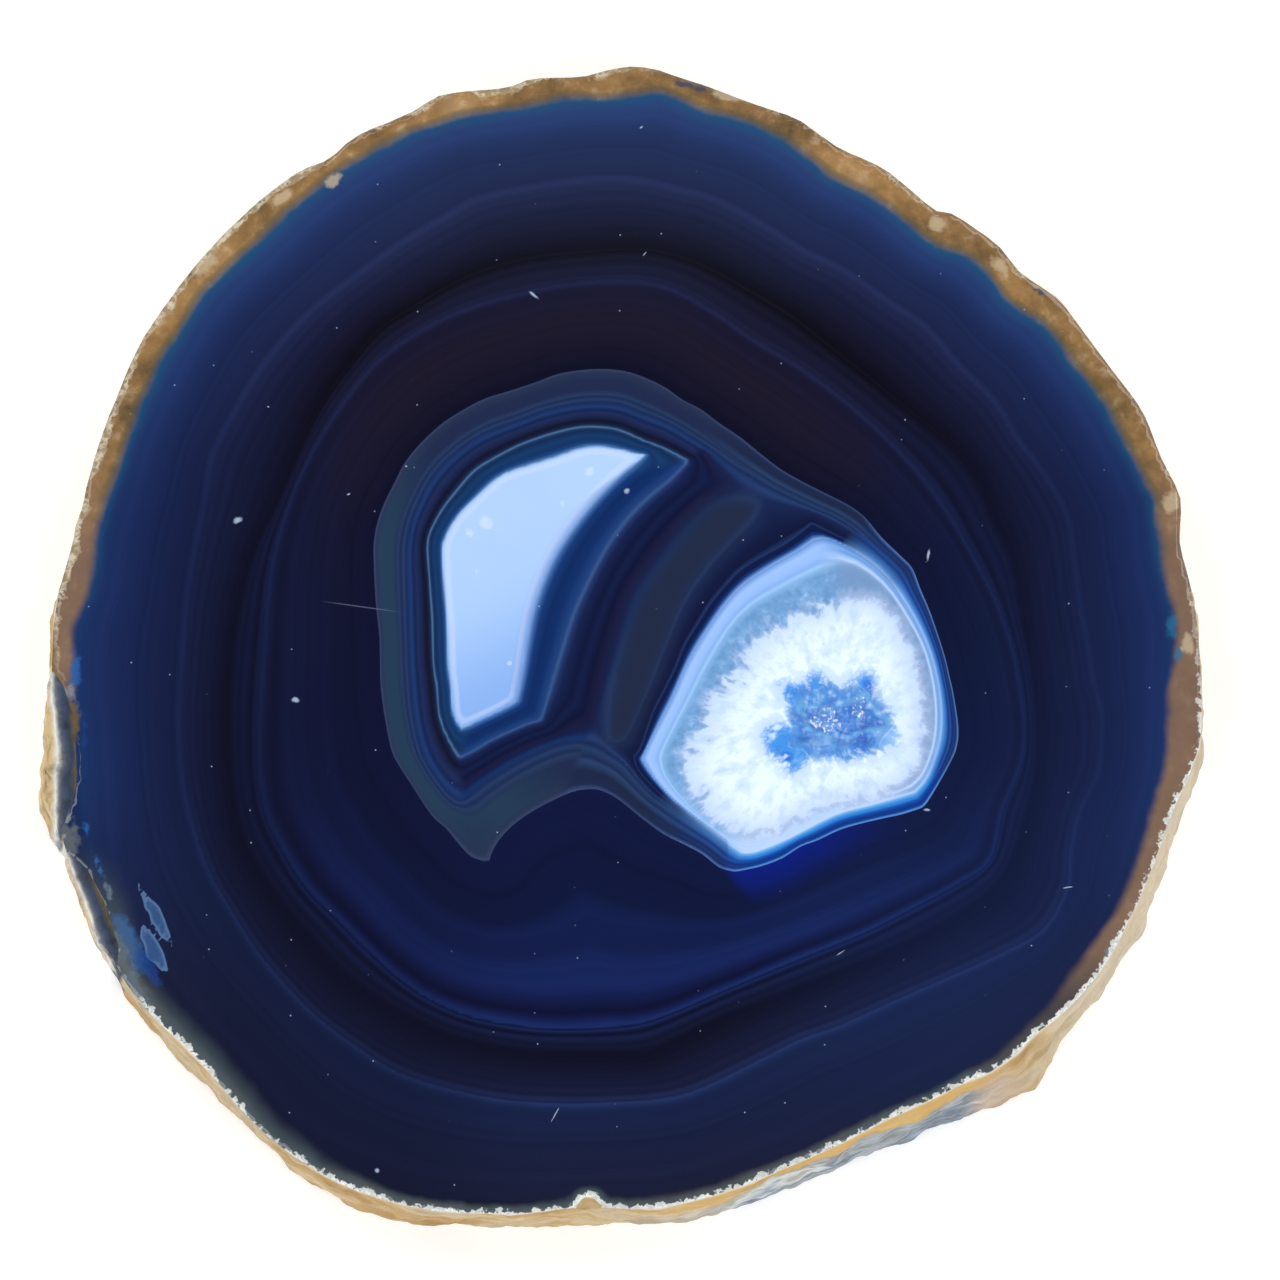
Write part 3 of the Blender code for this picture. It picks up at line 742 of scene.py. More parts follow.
# Small pits and scratches on the polish: middle and size in millimetres, and turn in degrees
marks = [
    ((-36.3, 11.0), (0.9, 0.7), 20), ((-30.7, -6.4), (0.8, 0.6), 0), ((0.5, 13.8), (0.6, 0.6), 0),
    ((-25.8, 13.5), (0.4, 0.2), 20), ((-20.4, 16.2), (0.25, 0.2), 0), ((-6.1, -45.7), (1.7, 0.12), 62),
    ((20.5, -30.5), (1.1, 0.12), 35), ((41.8, -24.3), (1.0, 0.14), 8), ((1.9, 49.5), (0.4, 0.2), 40),
    ((-33.5, 22.0), (0.25, 0.2), 0), ((2.2, 37.0), (0.5, 0.12), 50), ((-8.4, 33.0), (1.2, 0.3), -40),
    ((-22.7, -51.0), (0.5, 0.5), 0), ((28.7, -16.9), (0.7, 0.3), 0), ((29.0, 7.6), (0.3, 1.3), -8),
]
# Uneven stains: colour, strength and the places that have it
stains = {
    "blueStain": ((42, 92, 158), 0.85, [((-51.4, -3.4), (1.3, 4.2), 4), ((-46.2, -29.4), (2.2, 6.4), 30),
                                        ((-50.2, -18.6), (0.8, 1.6), 20), ((-48.9, -22.4), (0.7, 4.0), 24)]),
    "darkStain": ((26, 60, 128), 0.7, [((-44.4, -31.6), (1.4, 5.4), 32), ((-50.4, -9.0), (0.5, 4.0), 0)]),
    "tealStain": ((40, 104, 140), 0.7, [((51.9, 0.8), (1.3, 2.4), 0), ((52.5, -2.0), (0.9, 1.4), 0)]),
    "greyStain": ((112, 124, 142), 0.85, [((-51.9, -5.6), (1.4, 1.6), 0), ((-48.0, -24.6), (0.9, 2.6), 20),
                                          ((-47.6, -29.4), (1.9, 7.0), 30), ((-45.4, -33.8), (1.6, 5.0), 38),
                                          ((45.6, -30.4), (1.6, 1.0), 40)]),
    "chipStain": ((92, 98, 106), 0.9, [((-52.2, -19.4), (3.4, 5.6), 14)]),
    "slateStain": ((60, 66, 90), 0.8, [((6.8, 53.6), (4.0, 0.9), -14), ((39.6, 33.4), (0.6, 2.0), 48)]),
    "creamStain": ((198, 180, 150), 0.6, [((51.9, 12.6), (1.6, 2.4), 0), ((53.4, -0.9), (1.2, 2.4), 0),
                                          ((-39.6, 36.2), (3.0, 2.0), 48), ((-27.6, 44.2), (2.0, 1.2), 36),
                                          ((36.0, 36.0), (2.0, 1.4), -45), ((30.0, 40.0), (1.6, 1.4), -40),
                                          ((9.9, 52.7), (3.0, 1.0), -15), ((-32.4, 42.6), (3.0, 1.2), 40)]),
    "lensStain": ((216, 230, 255), 0.5, [((-12.8, 10.8), (1.4, 1.4), 0), ((-3.0, 15.8), (0.9, 0.9), 0),
                                         ((-14.4, 9.8), (0.9, 0.9), 0), ((-10.6, -2.8), (0.6, 0.6), 0),
                                         ((-5.6, 12.6), (0.7, 0.7), 0), ((-13.6, 6.0), (0.6, 0.6), 0)]),
}
# The patches of the eye's blue heart
heartStains = {
    "heartAzure": ((66, 146, 226), 0.8, [((15.6, -10.4), (3.4, 2.4), 0), ((16.2, -5.6), (2.0, 1.6), 30),
                                         ((18.9, -4.9), (1.8, 1.4), 0)]),
    "heartBright": ((40, 108, 212), 0.85, [((22.6, -10.3), (2.0, 2.4), 10), ((15.4, -12.0), (1.4, 1.4), 20),
                                           ((23.5, -5.2), (1.2, 1.8), 40)]),
    "heartCloud": ((150, 194, 242), 0.8, [((25.0, -9.8), (2.6, 2.6), 0), ((18.8, -12.2), (4.2, 1.2), 0),
                                          ((18.6, -10.2), (3.0, 1.0), 10)]),
}


agateSlice, mouth = cutSlice()
print("agate slice: stone cut, faces", len(agateSlice.data.polygons))
polished = roughen(agateSlice)
storeBands(agateSlice)
print("agate slice: bands measured")
blueDruse = growDruse()
print("agate slice: crystals grown, faces", len(blueDruse.data.polygons))


# The stone's outer skin: ochre and rust, chalky in places
def rindStone():
    group, start, end = newGroup("rindStone", [("Color", "Color"), ("Height", "Float")])
    place = newNode(group, "TexCoord").outputs["Object"]
    broad = noiseOf(group, place, 110, 2)
    fine = noiseOf(group, place, 520, 3, 0.65)
    colour = rampOf(group, broad, [
        (0.3, (100, 82, 54)), (0.42, (126, 98, 62)), (0.52, (154, 118, 72)), (0.62, (172, 134, 86)),
        (0.72, (180, 150, 112)),
    ])
    speck = rampOf(group, fine, [
        (0.3, (68, 56, 44)), (0.46, (124, 96, 64)), (0.58, (154, 120, 82)), (0.74, (206, 186, 154)),
    ])
    plug(group, end.inputs["Color"], mixOf(group, 0.45, colour, speck))
    height = mathOf(group, "ADD", mathOf(group, "MULTIPLY", broad, 0.6), fine)
    plug(group, end.inputs["Height"], height)
    return group


# 1 in the middle of a stretched round spot and 0 outside it
def spotOf(tree, place, middle, size, turn, start=1.2, end=0.45):
    mapping = newNode(tree, "Mapping", vector_type="TEXTURE")
    plug(tree, mapping.inputs["Vector"], place)
    mapping.inputs["Location"].default_value = (middle[0] * mm, middle[1] * mm, stone["thickness"])
    mapping.inputs["Rotation"].default_value = (0, 0, math.radians(turn))
    mapping.inputs["Scale"].default_value = (size[0] * mm / 2, size[1] * mm / 2, 1)
    far = newNode(tree, "VectorMath", operation="LENGTH")
    plug(tree, far.inputs[0], mapping.outputs[0])
    return fadeOf(tree, far.outputs["Value"], start, end)


def stainsOf(tree, colour, stains, ragged):
    for name, (stain, strength, spots) in stains.items():
        mask = fadeOf(tree, mathOf(tree, "ADD", fieldOf(tree, name), ragged), 0.0, 0.9)
        colour = mixOf(tree, mathOf(tree, "MULTIPLY", mask, strength), colour, tone(*stain))
    return colour


# Bands from the rind in to the nucleus: violet-black above, blue below, navy at the sides
def outerColour(tree, x, y, sway):
    outer = mathOf(tree, "ADD", fieldOf(tree, "outer"), mathOf(tree, "MULTIPLY", sway, 0.10))
    low = fadeOf(tree, mathOf(tree, "ADD", y, mathOf(tree, "MULTIPLY", sway, 0.01)), 0.020, -0.022)
    lowTone = rampOf(tree, outer, bands["low"], 4)
    lowTone = mixOf(tree, fadeOf(tree, outer, 3.2, 3.3), lowTone, rampOf(tree, outer, bands["deepLow"], 4))
    colour = mixOf(tree, low, rampOf(tree, outer, bands["high"], 4), lowTone)
    aside = fadeOf(tree, mathOf(tree, "ABSOLUTE", mathOf(tree, "ADD", x, 0.002)), 0.016, 0.034)
    level = fadeOf(tree, mathOf(tree, "ABSOLUTE", y), 0.034, 0.010)
    side = mathOf(tree, "MULTIPLY", aside, level)
    colour = mixOf(tree, side, colour, rampOf(tree, outer, bands["side"], 4))
    growth = newNode(tree, "TexNoise", noise_dimensions="1D")
    plug(tree, growth.inputs["W"], mathOf(tree, "MULTIPLY", outer, 6))
    growth.inputs["Scale"].default_value = 1
    growth.inputs["Detail"].default_value = 3
    growth.inputs["Roughness"].default_value = 0.6
    line = rampOf(tree, growth.outputs[0], [(0.3, (222, 224, 226)), (0.5, (240, 241, 242)), (0.68, (255, 255, 255))])
    colour = mixOf(tree, 1.0, colour, line, "MULTIPLY")
    right = mathOf(tree, "MULTIPLY", mathOf(tree, "MULTIPLY", fadeOf(tree, x, 0.006, 0.034), low), 0.22)
    colour = mixOf(tree, right, colour, tone(25, 46, 98))
    left = mathOf(tree, "MULTIPLY", fadeOf(tree, x, -0.006, -0.022), fadeOf(tree, x, -0.046, -0.034))
    colour = mixOf(tree, mathOf(tree, "MULTIPLY", mathOf(tree, "MULTIPLY", left, low), 0.4), colour, tone(10, 12, 34))
    haze = mathOf(tree, "MULTIPLY", fadeOf(tree, y, 0.026, 0.056), 0.05)
    colour = mixOf(tree, haze, colour, tone(96, 120, 160))
    glow = mathOf(tree, "MULTIPLY", fadeOf(tree, fieldOf(tree, "nucleus"), -4.0, 0.0), fadeOf(tree, y, -0.015, -0.019))
    aside = fadeOf(tree, mathOf(tree, "ADD", x, mathOf(tree, "MULTIPLY", y, 0.77)), -0.0084, -0.0066)
    aside = mathOf(tree, "MULTIPLY", aside, fadeOf(tree, x, 0.028, 0.016))
    return mixOf(tree, mathOf(tree, "MULTIPLY", mathOf(tree, "MULTIPLY", glow, aside), 0.9), colour, tone(10, 28, 120))


def nucleusColour(tree, x, y, sway):
    mantle = mathOf(tree, "ADD", fieldOf(tree, "mantle"), mathOf(tree, "MULTIPLY", sway, 0.03))
    behind = fadeOf(tree, fieldOf(tree, "lensBack"), -0.5, 0.5)
    colour = mixOf(tree, behind, rampOf(tree, mantle, nucleus["lensSide"], 3), rampOf(tree, mantle, nucleus["gapSide"], 3))
    mantleTone = rampOf(tree, mantle, nucleus["mantle"])
    green = mathOf(tree, "MULTIPLY", fadeOf(tree, mathOf(tree, "ABSOLUTE", mathOf(tree, "SUBTRACT", mantle, 0.38)), 0.34, 0.16), 0.7)
    green = mathOf(tree, "MULTIPLY", green, fadeOf(tree, mathOf(tree, "ADD", x, mathOf(tree, "MULTIPLY", y, 0.4)), -0.009, -0.019))
    green = mathOf(tree, "MULTIPLY", green, fadeOf(tree, y, -0.023, -0.016))
    mantleTone = mixOf(tree, green, mantleTone, tone(36, 62, 86))
    colour = mixOf(tree, fadeOf(tree, fieldOf(tree, "mantleInner"), -0.15, 0.15), mantleTone, colour)
    eyeShare = mathOf(tree, "MAXIMUM", fieldOf(tree, "eyeSide"), fadeOf(tree, x, 0.006, 0.014))
    colour = mixOf(tree, eyeShare, colour, rampOf(tree, mantle, nucleus["eyeSide"], 3))
    stripe = mathOf(tree, "ADD", fieldOf(tree, "stripe"), mathOf(tree, "MULTIPLY", sway, 2))
    colour = mixOf(tree, mathOf(tree, "MULTIPLY", fadeOf(tree, stripe, -2.0, 1.2), 0.92), colour, tone(31, 40, 64))
    squeezed = fieldOf(tree, "squeezed")
    below = mathOf(tree, "MULTIPLY", fadeOf(tree, y, -0.012, -0.015), fadeOf(tree, x, 0.009, 0.013))
    tight = mixOf(tree, below, rampOf(tree, squeezed, nucleus["squeezed"]), rampOf(tree, squeezed, nucleus["squeezedLow"]))
    colour = mixOf(tree, fieldOf(tree, "thin"), colour, tight)
    # the lens: even pale blue, paler at its rim and bluer at its foot
    lens = fieldOf(tree, "lens")
    foot = fadeOf(tree, mathOf(tree, "SUBTRACT", y, mathOf(tree, "MULTIPLY", x, 0.5)), 0.012, -0.002)
    lensTone = mixOf(tree, foot, tone(170, 202, 249), tone(134, 174, 235))
    cloud = fadeOf(tree, sway, -0.1, 0.14)
    lensTone = mixOf(tree, mathOf(tree, "MULTIPLY", cloud, 0.3), lensTone, tone(188, 214, 252))
    rim = mathOf(tree, "MULTIPLY", fadeOf(tree, mathOf(tree, "ABSOLUTE", mathOf(tree, "SUBTRACT", lens, 0.5)), 0.35, 0.1), 0.35)
    lensTone = mixOf(tree, rim, lensTone, tone(206, 218, 250))
    soft = mathOf(tree, "MULTIPLY", behind, fadeOf(tree, y, -0.0085, -0.0045))
    soft = mathOf(tree, "ADD", 0.25, mathOf(tree, "MULTIPLY", soft, 0.9))
    return mixOf(tree, fadeOf(tree, lens, mathOf(tree, "MULTIPLY", soft, -0.6), soft), colour, lensTone)


# The eye: pale blue band, grey ring, white quartz with ragged edges and its blue heart
def eyeColour(tree, place, x, y, fleck):
    out = newNode(tree, "VectorMath", operation="SUBTRACT")
    plug(tree, out.inputs[0], place)
    out.inputs[1].default_value = (0.0192, -0.0082, 0.0)
    ray = newNode(tree, "VectorMath", operation="NORMALIZE")
    plug(tree, ray.inputs[0], out.outputs[0])
    far = newNode(tree, "VectorMath", operation="LENGTH")
    plug(tree, far.inputs[0], out.outputs[0])
    fan = newNode(tree, "VectorMath", operation="SCALE")
    plug(tree, fan.inputs[0], ray.outputs[0])
    plug(tree, fan.inputs["Scale"], mathOf(tree, "ADD", 1.0, mathOf(tree, "MULTIPLY", far.outputs["Value"], 22)))
    wave = noiseOf(tree, fan.outputs[0], 6.5, 3, 0.58)
    ridge = mathOf(tree, "ABSOLUTE", mathOf(tree, "SUBTRACT", wave, 0.5))
    spike = mathOf(tree, "SUBTRACT", 0.42, mathOf(tree, "MULTIPLY", ridge, 4.5))
    colour = rampOf(tree, fieldOf(tree, "eyeBand"), nucleus["eyeBand"])
    ringTone = rampOf(tree, fleck, [(0.36, (104, 149, 199)), (0.58, (118, 163, 213)), (0.70, (134, 178, 225)), (0.80, (204, 226, 250))])
    colour = mixOf(tree, fadeOf(tree, fieldOf(tree, "eyeRing"), -0.1, 0.6), colour, ringTone)
    foot = mathOf(tree, "SUBTRACT", y, mathOf(tree, "MULTIPLY", x, 0.346))
    foot = mathOf(tree, "MULTIPLY", fadeOf(tree, foot, -0.0215, -0.0240), fadeOf(tree, x, 0.008, 0.012))
    colour = mixOf(tree, mathOf(tree, "MULTIPLY", foot, 0.7), colour, tone(192, 214, 248))
    right = fadeOf(tree, mathOf(tree, "ADD", x, mathOf(tree, "MULTIPLY", y, 0.25)), 0.020, 0.0235)
    rightTone = rampOf(tree, fieldOf(tree, "eyeBand"), nucleus["eyeRight"])
    colour = mixOf(tree, mathOf(tree, "MULTIPLY", right, 0.85), colour, rightTone)

    besides = mathOf(tree, "MAXIMUM", right, foot)
    reach = mathOf(tree, "SUBTRACT", 2.0, mathOf(tree, "MULTIPLY", besides, 1.4))
    toQuartz = mathOf(tree, "ADD", fieldOf(tree, "quartz"), mathOf(tree, "MULTIPLY", spike, reach))
    toQuartz = mathOf(tree, "ADD", toQuartz, mathOf(tree, "MULTIPLY", mathOf(tree, "SUBTRACT", fleck, 0.78), 0.7))
    white = rampOf(tree, wave, [(0.32, (198, 220, 252)), (0.46, (214, 234, 255)), (0.58, (230, 247, 255))])
    fringe = fadeOf(tree, toQuartz, 3.2, 0.2)
    white = mixOf(tree, mathOf(tree, "MULTIPLY", fringe, 0.7), white, tone(186, 208, 250))
    veil = mathOf(tree, "MULTIPLY", fadeOf(tree, toQuartz, -1.3, 0.2), 0.45)
    colour = mixOf(tree, veil, colour, tone(196, 212, 246))
    grains = mathOf(tree, "MULTIPLY", fadeOf(tree, mathOf(tree, "ABSOLUTE", toQuartz), 0.7, 0.2), besides)
    grains = mathOf(tree, "MULTIPLY", grains, fadeOf(tree, fleck, 0.6, 0.45))
    colour = mixOf(tree, fadeOf(tree, toQuartz, -0.35, 0.55), colour, white)
    colour = mixOf(tree, mathOf(tree, "MULTIPLY", grains, 0.4), colour, tone(140, 160, 200))
    toHeart = mathOf(tree, "ADD", fieldOf(tree, "blueHeart"), mathOf(tree, "MULTIPLY", spike, 1.3))
    toHeart = mathOf(tree, "ADD", toHeart, mathOf(tree, "MULTIPLY", mathOf(tree, "SUBTRACT", fleck, 0.5), 1.0))
    colour = mixOf(tree, mathOf(tree, "MULTIPLY", fadeOf(tree, toHeart, -1.5, 0.2), 0.8), colour, tone(186, 214, 250))
    return mixOf(tree, fadeOf(tree, toHeart, -0.5, 0.7), colour, heartColour(tree, fleck, wave))


def heartColour(tree, fleck, wave):
    colour = rampOf(tree, wave, [(0.34, (64, 134, 222)), (0.5, (86, 154, 230)), (0.62, (118, 178, 240)), (0.7, (160, 204, 248))])
    colour = stainsOf(tree, colour, heartStains, mathOf(tree, "MULTIPLY", mathOf(tree, "SUBTRACT", fleck, 0.5), 1.6))
    pool = mathOf(tree, "ADD", fieldOf(tree, "pool"), mathOf(tree, "MULTIPLY", mathOf(tree, "SUBTRACT", wave, 0.5), 0.8))
    colour = mixOf(tree, mathOf(tree, "MULTIPLY", fadeOf(tree, pool, -0.15, 0.25), 0.7), colour, tone(56, 120, 212))
    shore = fadeOf(tree, mathOf(tree, "ABSOLUTE", pool), 0.42, 0.10)
    colour = mixOf(tree, mathOf(tree, "MULTIPLY", shore, 0.8), colour, tone(124, 190, 238))
    depth = rampOf(tree, fleck, [(0.36, (222, 232, 246)), (0.5, (248, 251, 255)), (0.6, (255, 255, 255))])
    return mixOf(tree, 1.0, colour, depth, "MULTIPLY")


# The skin where it shows on the face, with the pale crumbled edge of the stone
def rimColour(tree, colour, rind, place, x, y, grit, fleck):
    skin = placeGroup(tree, rind).outputs["Color"]
    waver = mathOf(tree, "MULTIPLY", mathOf(tree, "SUBTRACT", noiseOf(tree, place, 240, 3, 0.55), 0.5), 1.1)
    toRind = mathOf(tree, "ADD", fieldOf(tree, "rindInner"), waver)
    widened = mathOf(tree, "MULTIPLY", fadeOf(tree, x, 0.032, 0.042), fadeOf(tree, y, -0.014, -0.020))
    toRind = mathOf(tree, "SUBTRACT", toRind, mathOf(tree, "MULTIPLY", widened, 0.45))
    glow = mathOf(tree, "MULTIPLY", fadeOf(tree, toRind, 1.3, 0.0), fadeOf(tree, y, -0.004, 0.012))
    colour = mixOf(tree, mathOf(tree, "MULTIPLY", glow, 0.55), colour, tone(26, 78, 112))
    brown = mathOf(tree, "MULTIPLY", fadeOf(tree, y, 0.020, 0.006), 0.8)
    skin = mixOf(tree, brown, skin, tone(118, 95, 84))
    bottom = mathOf(tree, "MULTIPLY", fadeOf(tree, y, -0.029, -0.036), 0.85)
    skin = mixOf(tree, bottom, skin, tone(52, 54, 64))
    beside = mathOf(tree, "MULTIPLY", fadeOf(tree, y, -0.003, -0.007), fadeOf(tree, y, -0.028, -0.022))
    beside = mathOf(tree, "MULTIPLY", beside, fadeOf(tree, x, -0.02, -0.04))
    olive = fadeOf(tree, mathOf(tree, "ABSOLUTE", mathOf(tree, "ADD", toRind, 0.35)), 0.5, 0.1)
    olive = mathOf(tree, "MULTIPLY", mathOf(tree, "MULTIPLY", olive, fadeOf(tree, y, 0.006, 0.016)), 0.5)
    skin = mixOf(tree, olive, skin, tone(88, 84, 58))
    inRind = mathOf(tree, "MULTIPLY", fadeOf(tree, toRind, 0.45, -0.6), mathOf(tree, "SUBTRACT", 1.0, beside))
    colour = mixOf(tree, inRind, colour, skin)
    ragged = mathOf(tree, "MULTIPLY", mathOf(tree, "SUBTRACT", fleck, 0.5), 2.0)
    ragged = mathOf(tree, "ADD", ragged, mathOf(tree, "MULTIPLY", waver, 1.3))
    colour = stainsOf(tree, colour, stains, ragged)
    # a grey veil inside the broken edge, wider at the lower left
    edge = fieldOf(tree, "edge")
    left = fadeOf(tree, mathOf(tree, "SUBTRACT", mathOf(tree, "MULTIPLY", y, 0.5), x), -0.014, 0.016)
    wide = mathOf(tree, "ADD", 1.2, mathOf(tree, "MULTIPLY", left, 1.7))
    veil = fadeOf(tree, mathOf(tree, "ADD", edge, waver), wide, 0.3)
    veil = mathOf(tree, "MULTIPLY", veil, fadeOf(tree, y, -0.018, -0.032))
    veil = mathOf(tree, "MULTIPLY", veil, fadeOf(tree, x, 0.042, 0.030))
    colour = mixOf(tree, mathOf(tree, "MULTIPLY", veil, 0.7), colour, tone(78, 92, 98))

    chipped = fadeOf(tree, fieldOf(tree, "chip"), -1.6, -0.8)
    lower = fadeOf(tree, y, 0.004, -0.010)
    crumb = mathOf(tree, "ADD", edge, mathOf(tree, "MULTIPLY", mathOf(tree, "SUBTRACT", grit, 0.5), 1.3))
    crumb = mathOf(tree, "ADD", crumb, mathOf(tree, "MULTIPLY", waver, 0.5))
    crust = mathOf(tree, "MAXIMUM", fadeOf(tree, crumb, 0.44, 0.28), fadeOf(tree, edge, 0.30, 0.18))
    crust = mathOf(tree, "MULTIPLY", crust, mathOf(tree, "SUBTRACT", lower, chipped, clamp=True))
    colour = mixOf(tree, crust, colour, mixOf(tree, fadeOf(tree, grit, 0.35, 0.55), tone(190, 194, 190), tone(228, 232, 230)))
    chalk = mathOf(tree, "ADD", crumb, mathOf(tree, "MULTIPLY", waver, 1.6))
    chalk = mathOf(tree, "SUBTRACT", chalk, mathOf(tree, "MULTIPLY", fadeOf(tree, x, 0.010, -0.040), 0.3))
    chalk = mathOf(tree, "MULTIPLY", fadeOf(tree, chalk, 0.28, 0.08), mathOf(tree, "SUBTRACT", 1.0, lower))
    chalkTone = mixOf(tree, fadeOf(tree, grit, 0.40, 0.58), tone(150, 132, 100), tone(216, 206, 184))
    colour = mixOf(tree, mathOf(tree, "MULTIPLY", chalk, 0.75), colour, chalkTone)
    gold = mathOf(tree, "MULTIPLY", fadeOf(tree, mathOf(tree, "ADD", edge, waver), 0.5, 0.2), chipped)
    gold = mathOf(tree, "MULTIPLY", gold, fadeOf(tree, y, -0.017, -0.015))
    colour = mixOf(tree, mathOf(tree, "MULTIPLY", gold, 0.8), colour, tone(112, 88, 40))
    return colour, mathOf(tree, "MAXIMUM", crust, chalk)


# Pits and scratches with ragged edges, and fine specks of dust
def markMask(tree, place, grit, fleck):
    shake = newNode(tree, "CombineXYZ")
    plug(tree, shake.inputs[0], mathOf(tree, "SUBTRACT", grit, 0.5))
    plug(tree, shake.inputs[1], mathOf(tree, "SUBTRACT", fleck, 0.5))
    offset = newNode(tree, "VectorMath", operation="MULTIPLY_ADD")
    plug(tree, offset.inputs[0], shake.outputs[0])
    offset.inputs[1].default_value = (1.4, 1.4, 0.0)
    plug(tree, offset.inputs[2], newNode(tree, "Attribute", attribute_name="mark").outputs["Vector"])
    far = newNode(tree, "VectorMath", operation="LENGTH")
    plug(tree, far.inputs[0], offset.outputs[0])
    mask = mathOf(tree, "MULTIPLY", fadeOf(tree, far.outputs["Value"], 1.1, 0.4), 0.85)
    cells = newNode(tree, "TexVoronoi", voronoi_dimensions="2D")
    plug(tree, cells.inputs["Vector"], place)
    cells.inputs["Scale"].default_value = 260
    chosen = newNode(tree, "SeparateXYZ")
    plug(tree, chosen.inputs[0], cells.outputs["Color"])
    dust = mathOf(tree, "MULTIPLY", fadeOf(tree, cells.outputs["Distance"], 0.026, 0.010), fadeOf(tree, chosen.outputs[0], 0.82, 1.0))
    return mathOf(tree, "MAXIMUM", mask, mathOf(tree, "MULTIPLY", dust, 0.7))


# Everything that is drawn on the two flat faces
def agateBands(rind):
    group, start, end = newGroup("agateBands", [("Color", "Color"), ("Frost", "Float")])
    place = newNode(group, "TexCoord").outputs["Object"]
    split = newNode(group, "SeparateXYZ")
    plug(group, split.inputs[0], place)
    x, y = split.outputs[0], split.outputs[1]
    sway = mathOf(group, "SUBTRACT", noiseOf(group, place, 55, 3), 0.5)
    grit = noiseOf(group, place, 1500, 2, 0.6)
    fleck = noiseOf(group, place, 1000, 2, 0.6)
    colour = outerColour(group, x, y, sway)
    inside = fadeOf(group, fieldOf(group, "nucleus"), -0.04, 0.06)
    colour = mixOf(group, inside, colour, nucleusColour(group, x, y, sway))
    inside = fadeOf(group, fieldOf(group, "eyeEdge"), -0.15, 0.2)
    colour = mixOf(group, inside, colour, eyeColour(group, place, x, y, fleck))
    flakes = mathOf(group, "ADD", fieldOf(group, "flakes"), mathOf(group, "MULTIPLY", mathOf(group, "SUBTRACT", fleck, 0.5), 0.12))
    flakeTone = mixOf(group, fadeOf(group, flakes, 0.40, 0.02), tone(52, 82, 128), tone(88, 120, 164))
    colour = mixOf(group, mathOf(group, "MULTIPLY", fadeOf(group, flakes, -0.04, 0.10), 0.88), colour, flakeTone)
    colour, frost = rimColour(group, colour, rind, place, x, y, grit, fleck)
    colour = mixOf(group, markMask(group, place, grit, fleck), colour, tone(164, 180, 208))
    scratch = spotOf(group, place, (-24.5, 2.6), (8.0, 0.14), -8, 1.1, 0.5)
    colour = mixOf(group, mathOf(group, "MULTIPLY", scratch, 0.35), colour, tone(120, 130, 160))
    plug(group, end.inputs["Color"], colour)
    plug(group, end.inputs["Frost"], frost)
    return group


def bumpOf(tree, height, strength, distance):
    bump = newNode(tree, "Bump")
    bump.inputs["Strength"].default_value = strength
    bump.inputs["Distance"].default_value = distance
    plug(tree, bump.inputs["Height"], height)
    return bump.outputs[0]


rind = rindStone()
faceBands = agateBands(rind)


def polishedAgate():
    material, tree, shader = newMaterial("polishedAgate")
    drawn = placeGroup(tree, faceBands)
    plug(tree, shader.inputs["Base Color"], drawn.outputs["Color"])
    rough = mathOf(tree, "ADD", 0.07, mathOf(tree, "MULTIPLY", drawn.outputs["Frost"], 0.6))
    plug(tree, shader.inputs["Roughness"], rough)
    shader.inputs["IOR"].default_value = 1.54
    return material


def sawnAgate():
    material, tree, shader = newMaterial("sawnAgate")
    drawn = placeGroup(tree, faceBands)
    place = newNode(tree, "TexCoord").outputs["Object"]
    colour = mixOf(tree, 0.10, drawn.outputs["Color"], tone(120, 130, 160))
    plug(tree, shader.inputs["Base Color"], colour)
    shader.inputs["Roughness"].default_value = 0.32
    marks = noiseOf(tree, place, 40, 2, 0.5, (1, 14, 1))
    plug(tree, shader.inputs["Normal"], bumpOf(tree, marks, 0.06, 0.0002))
    return material


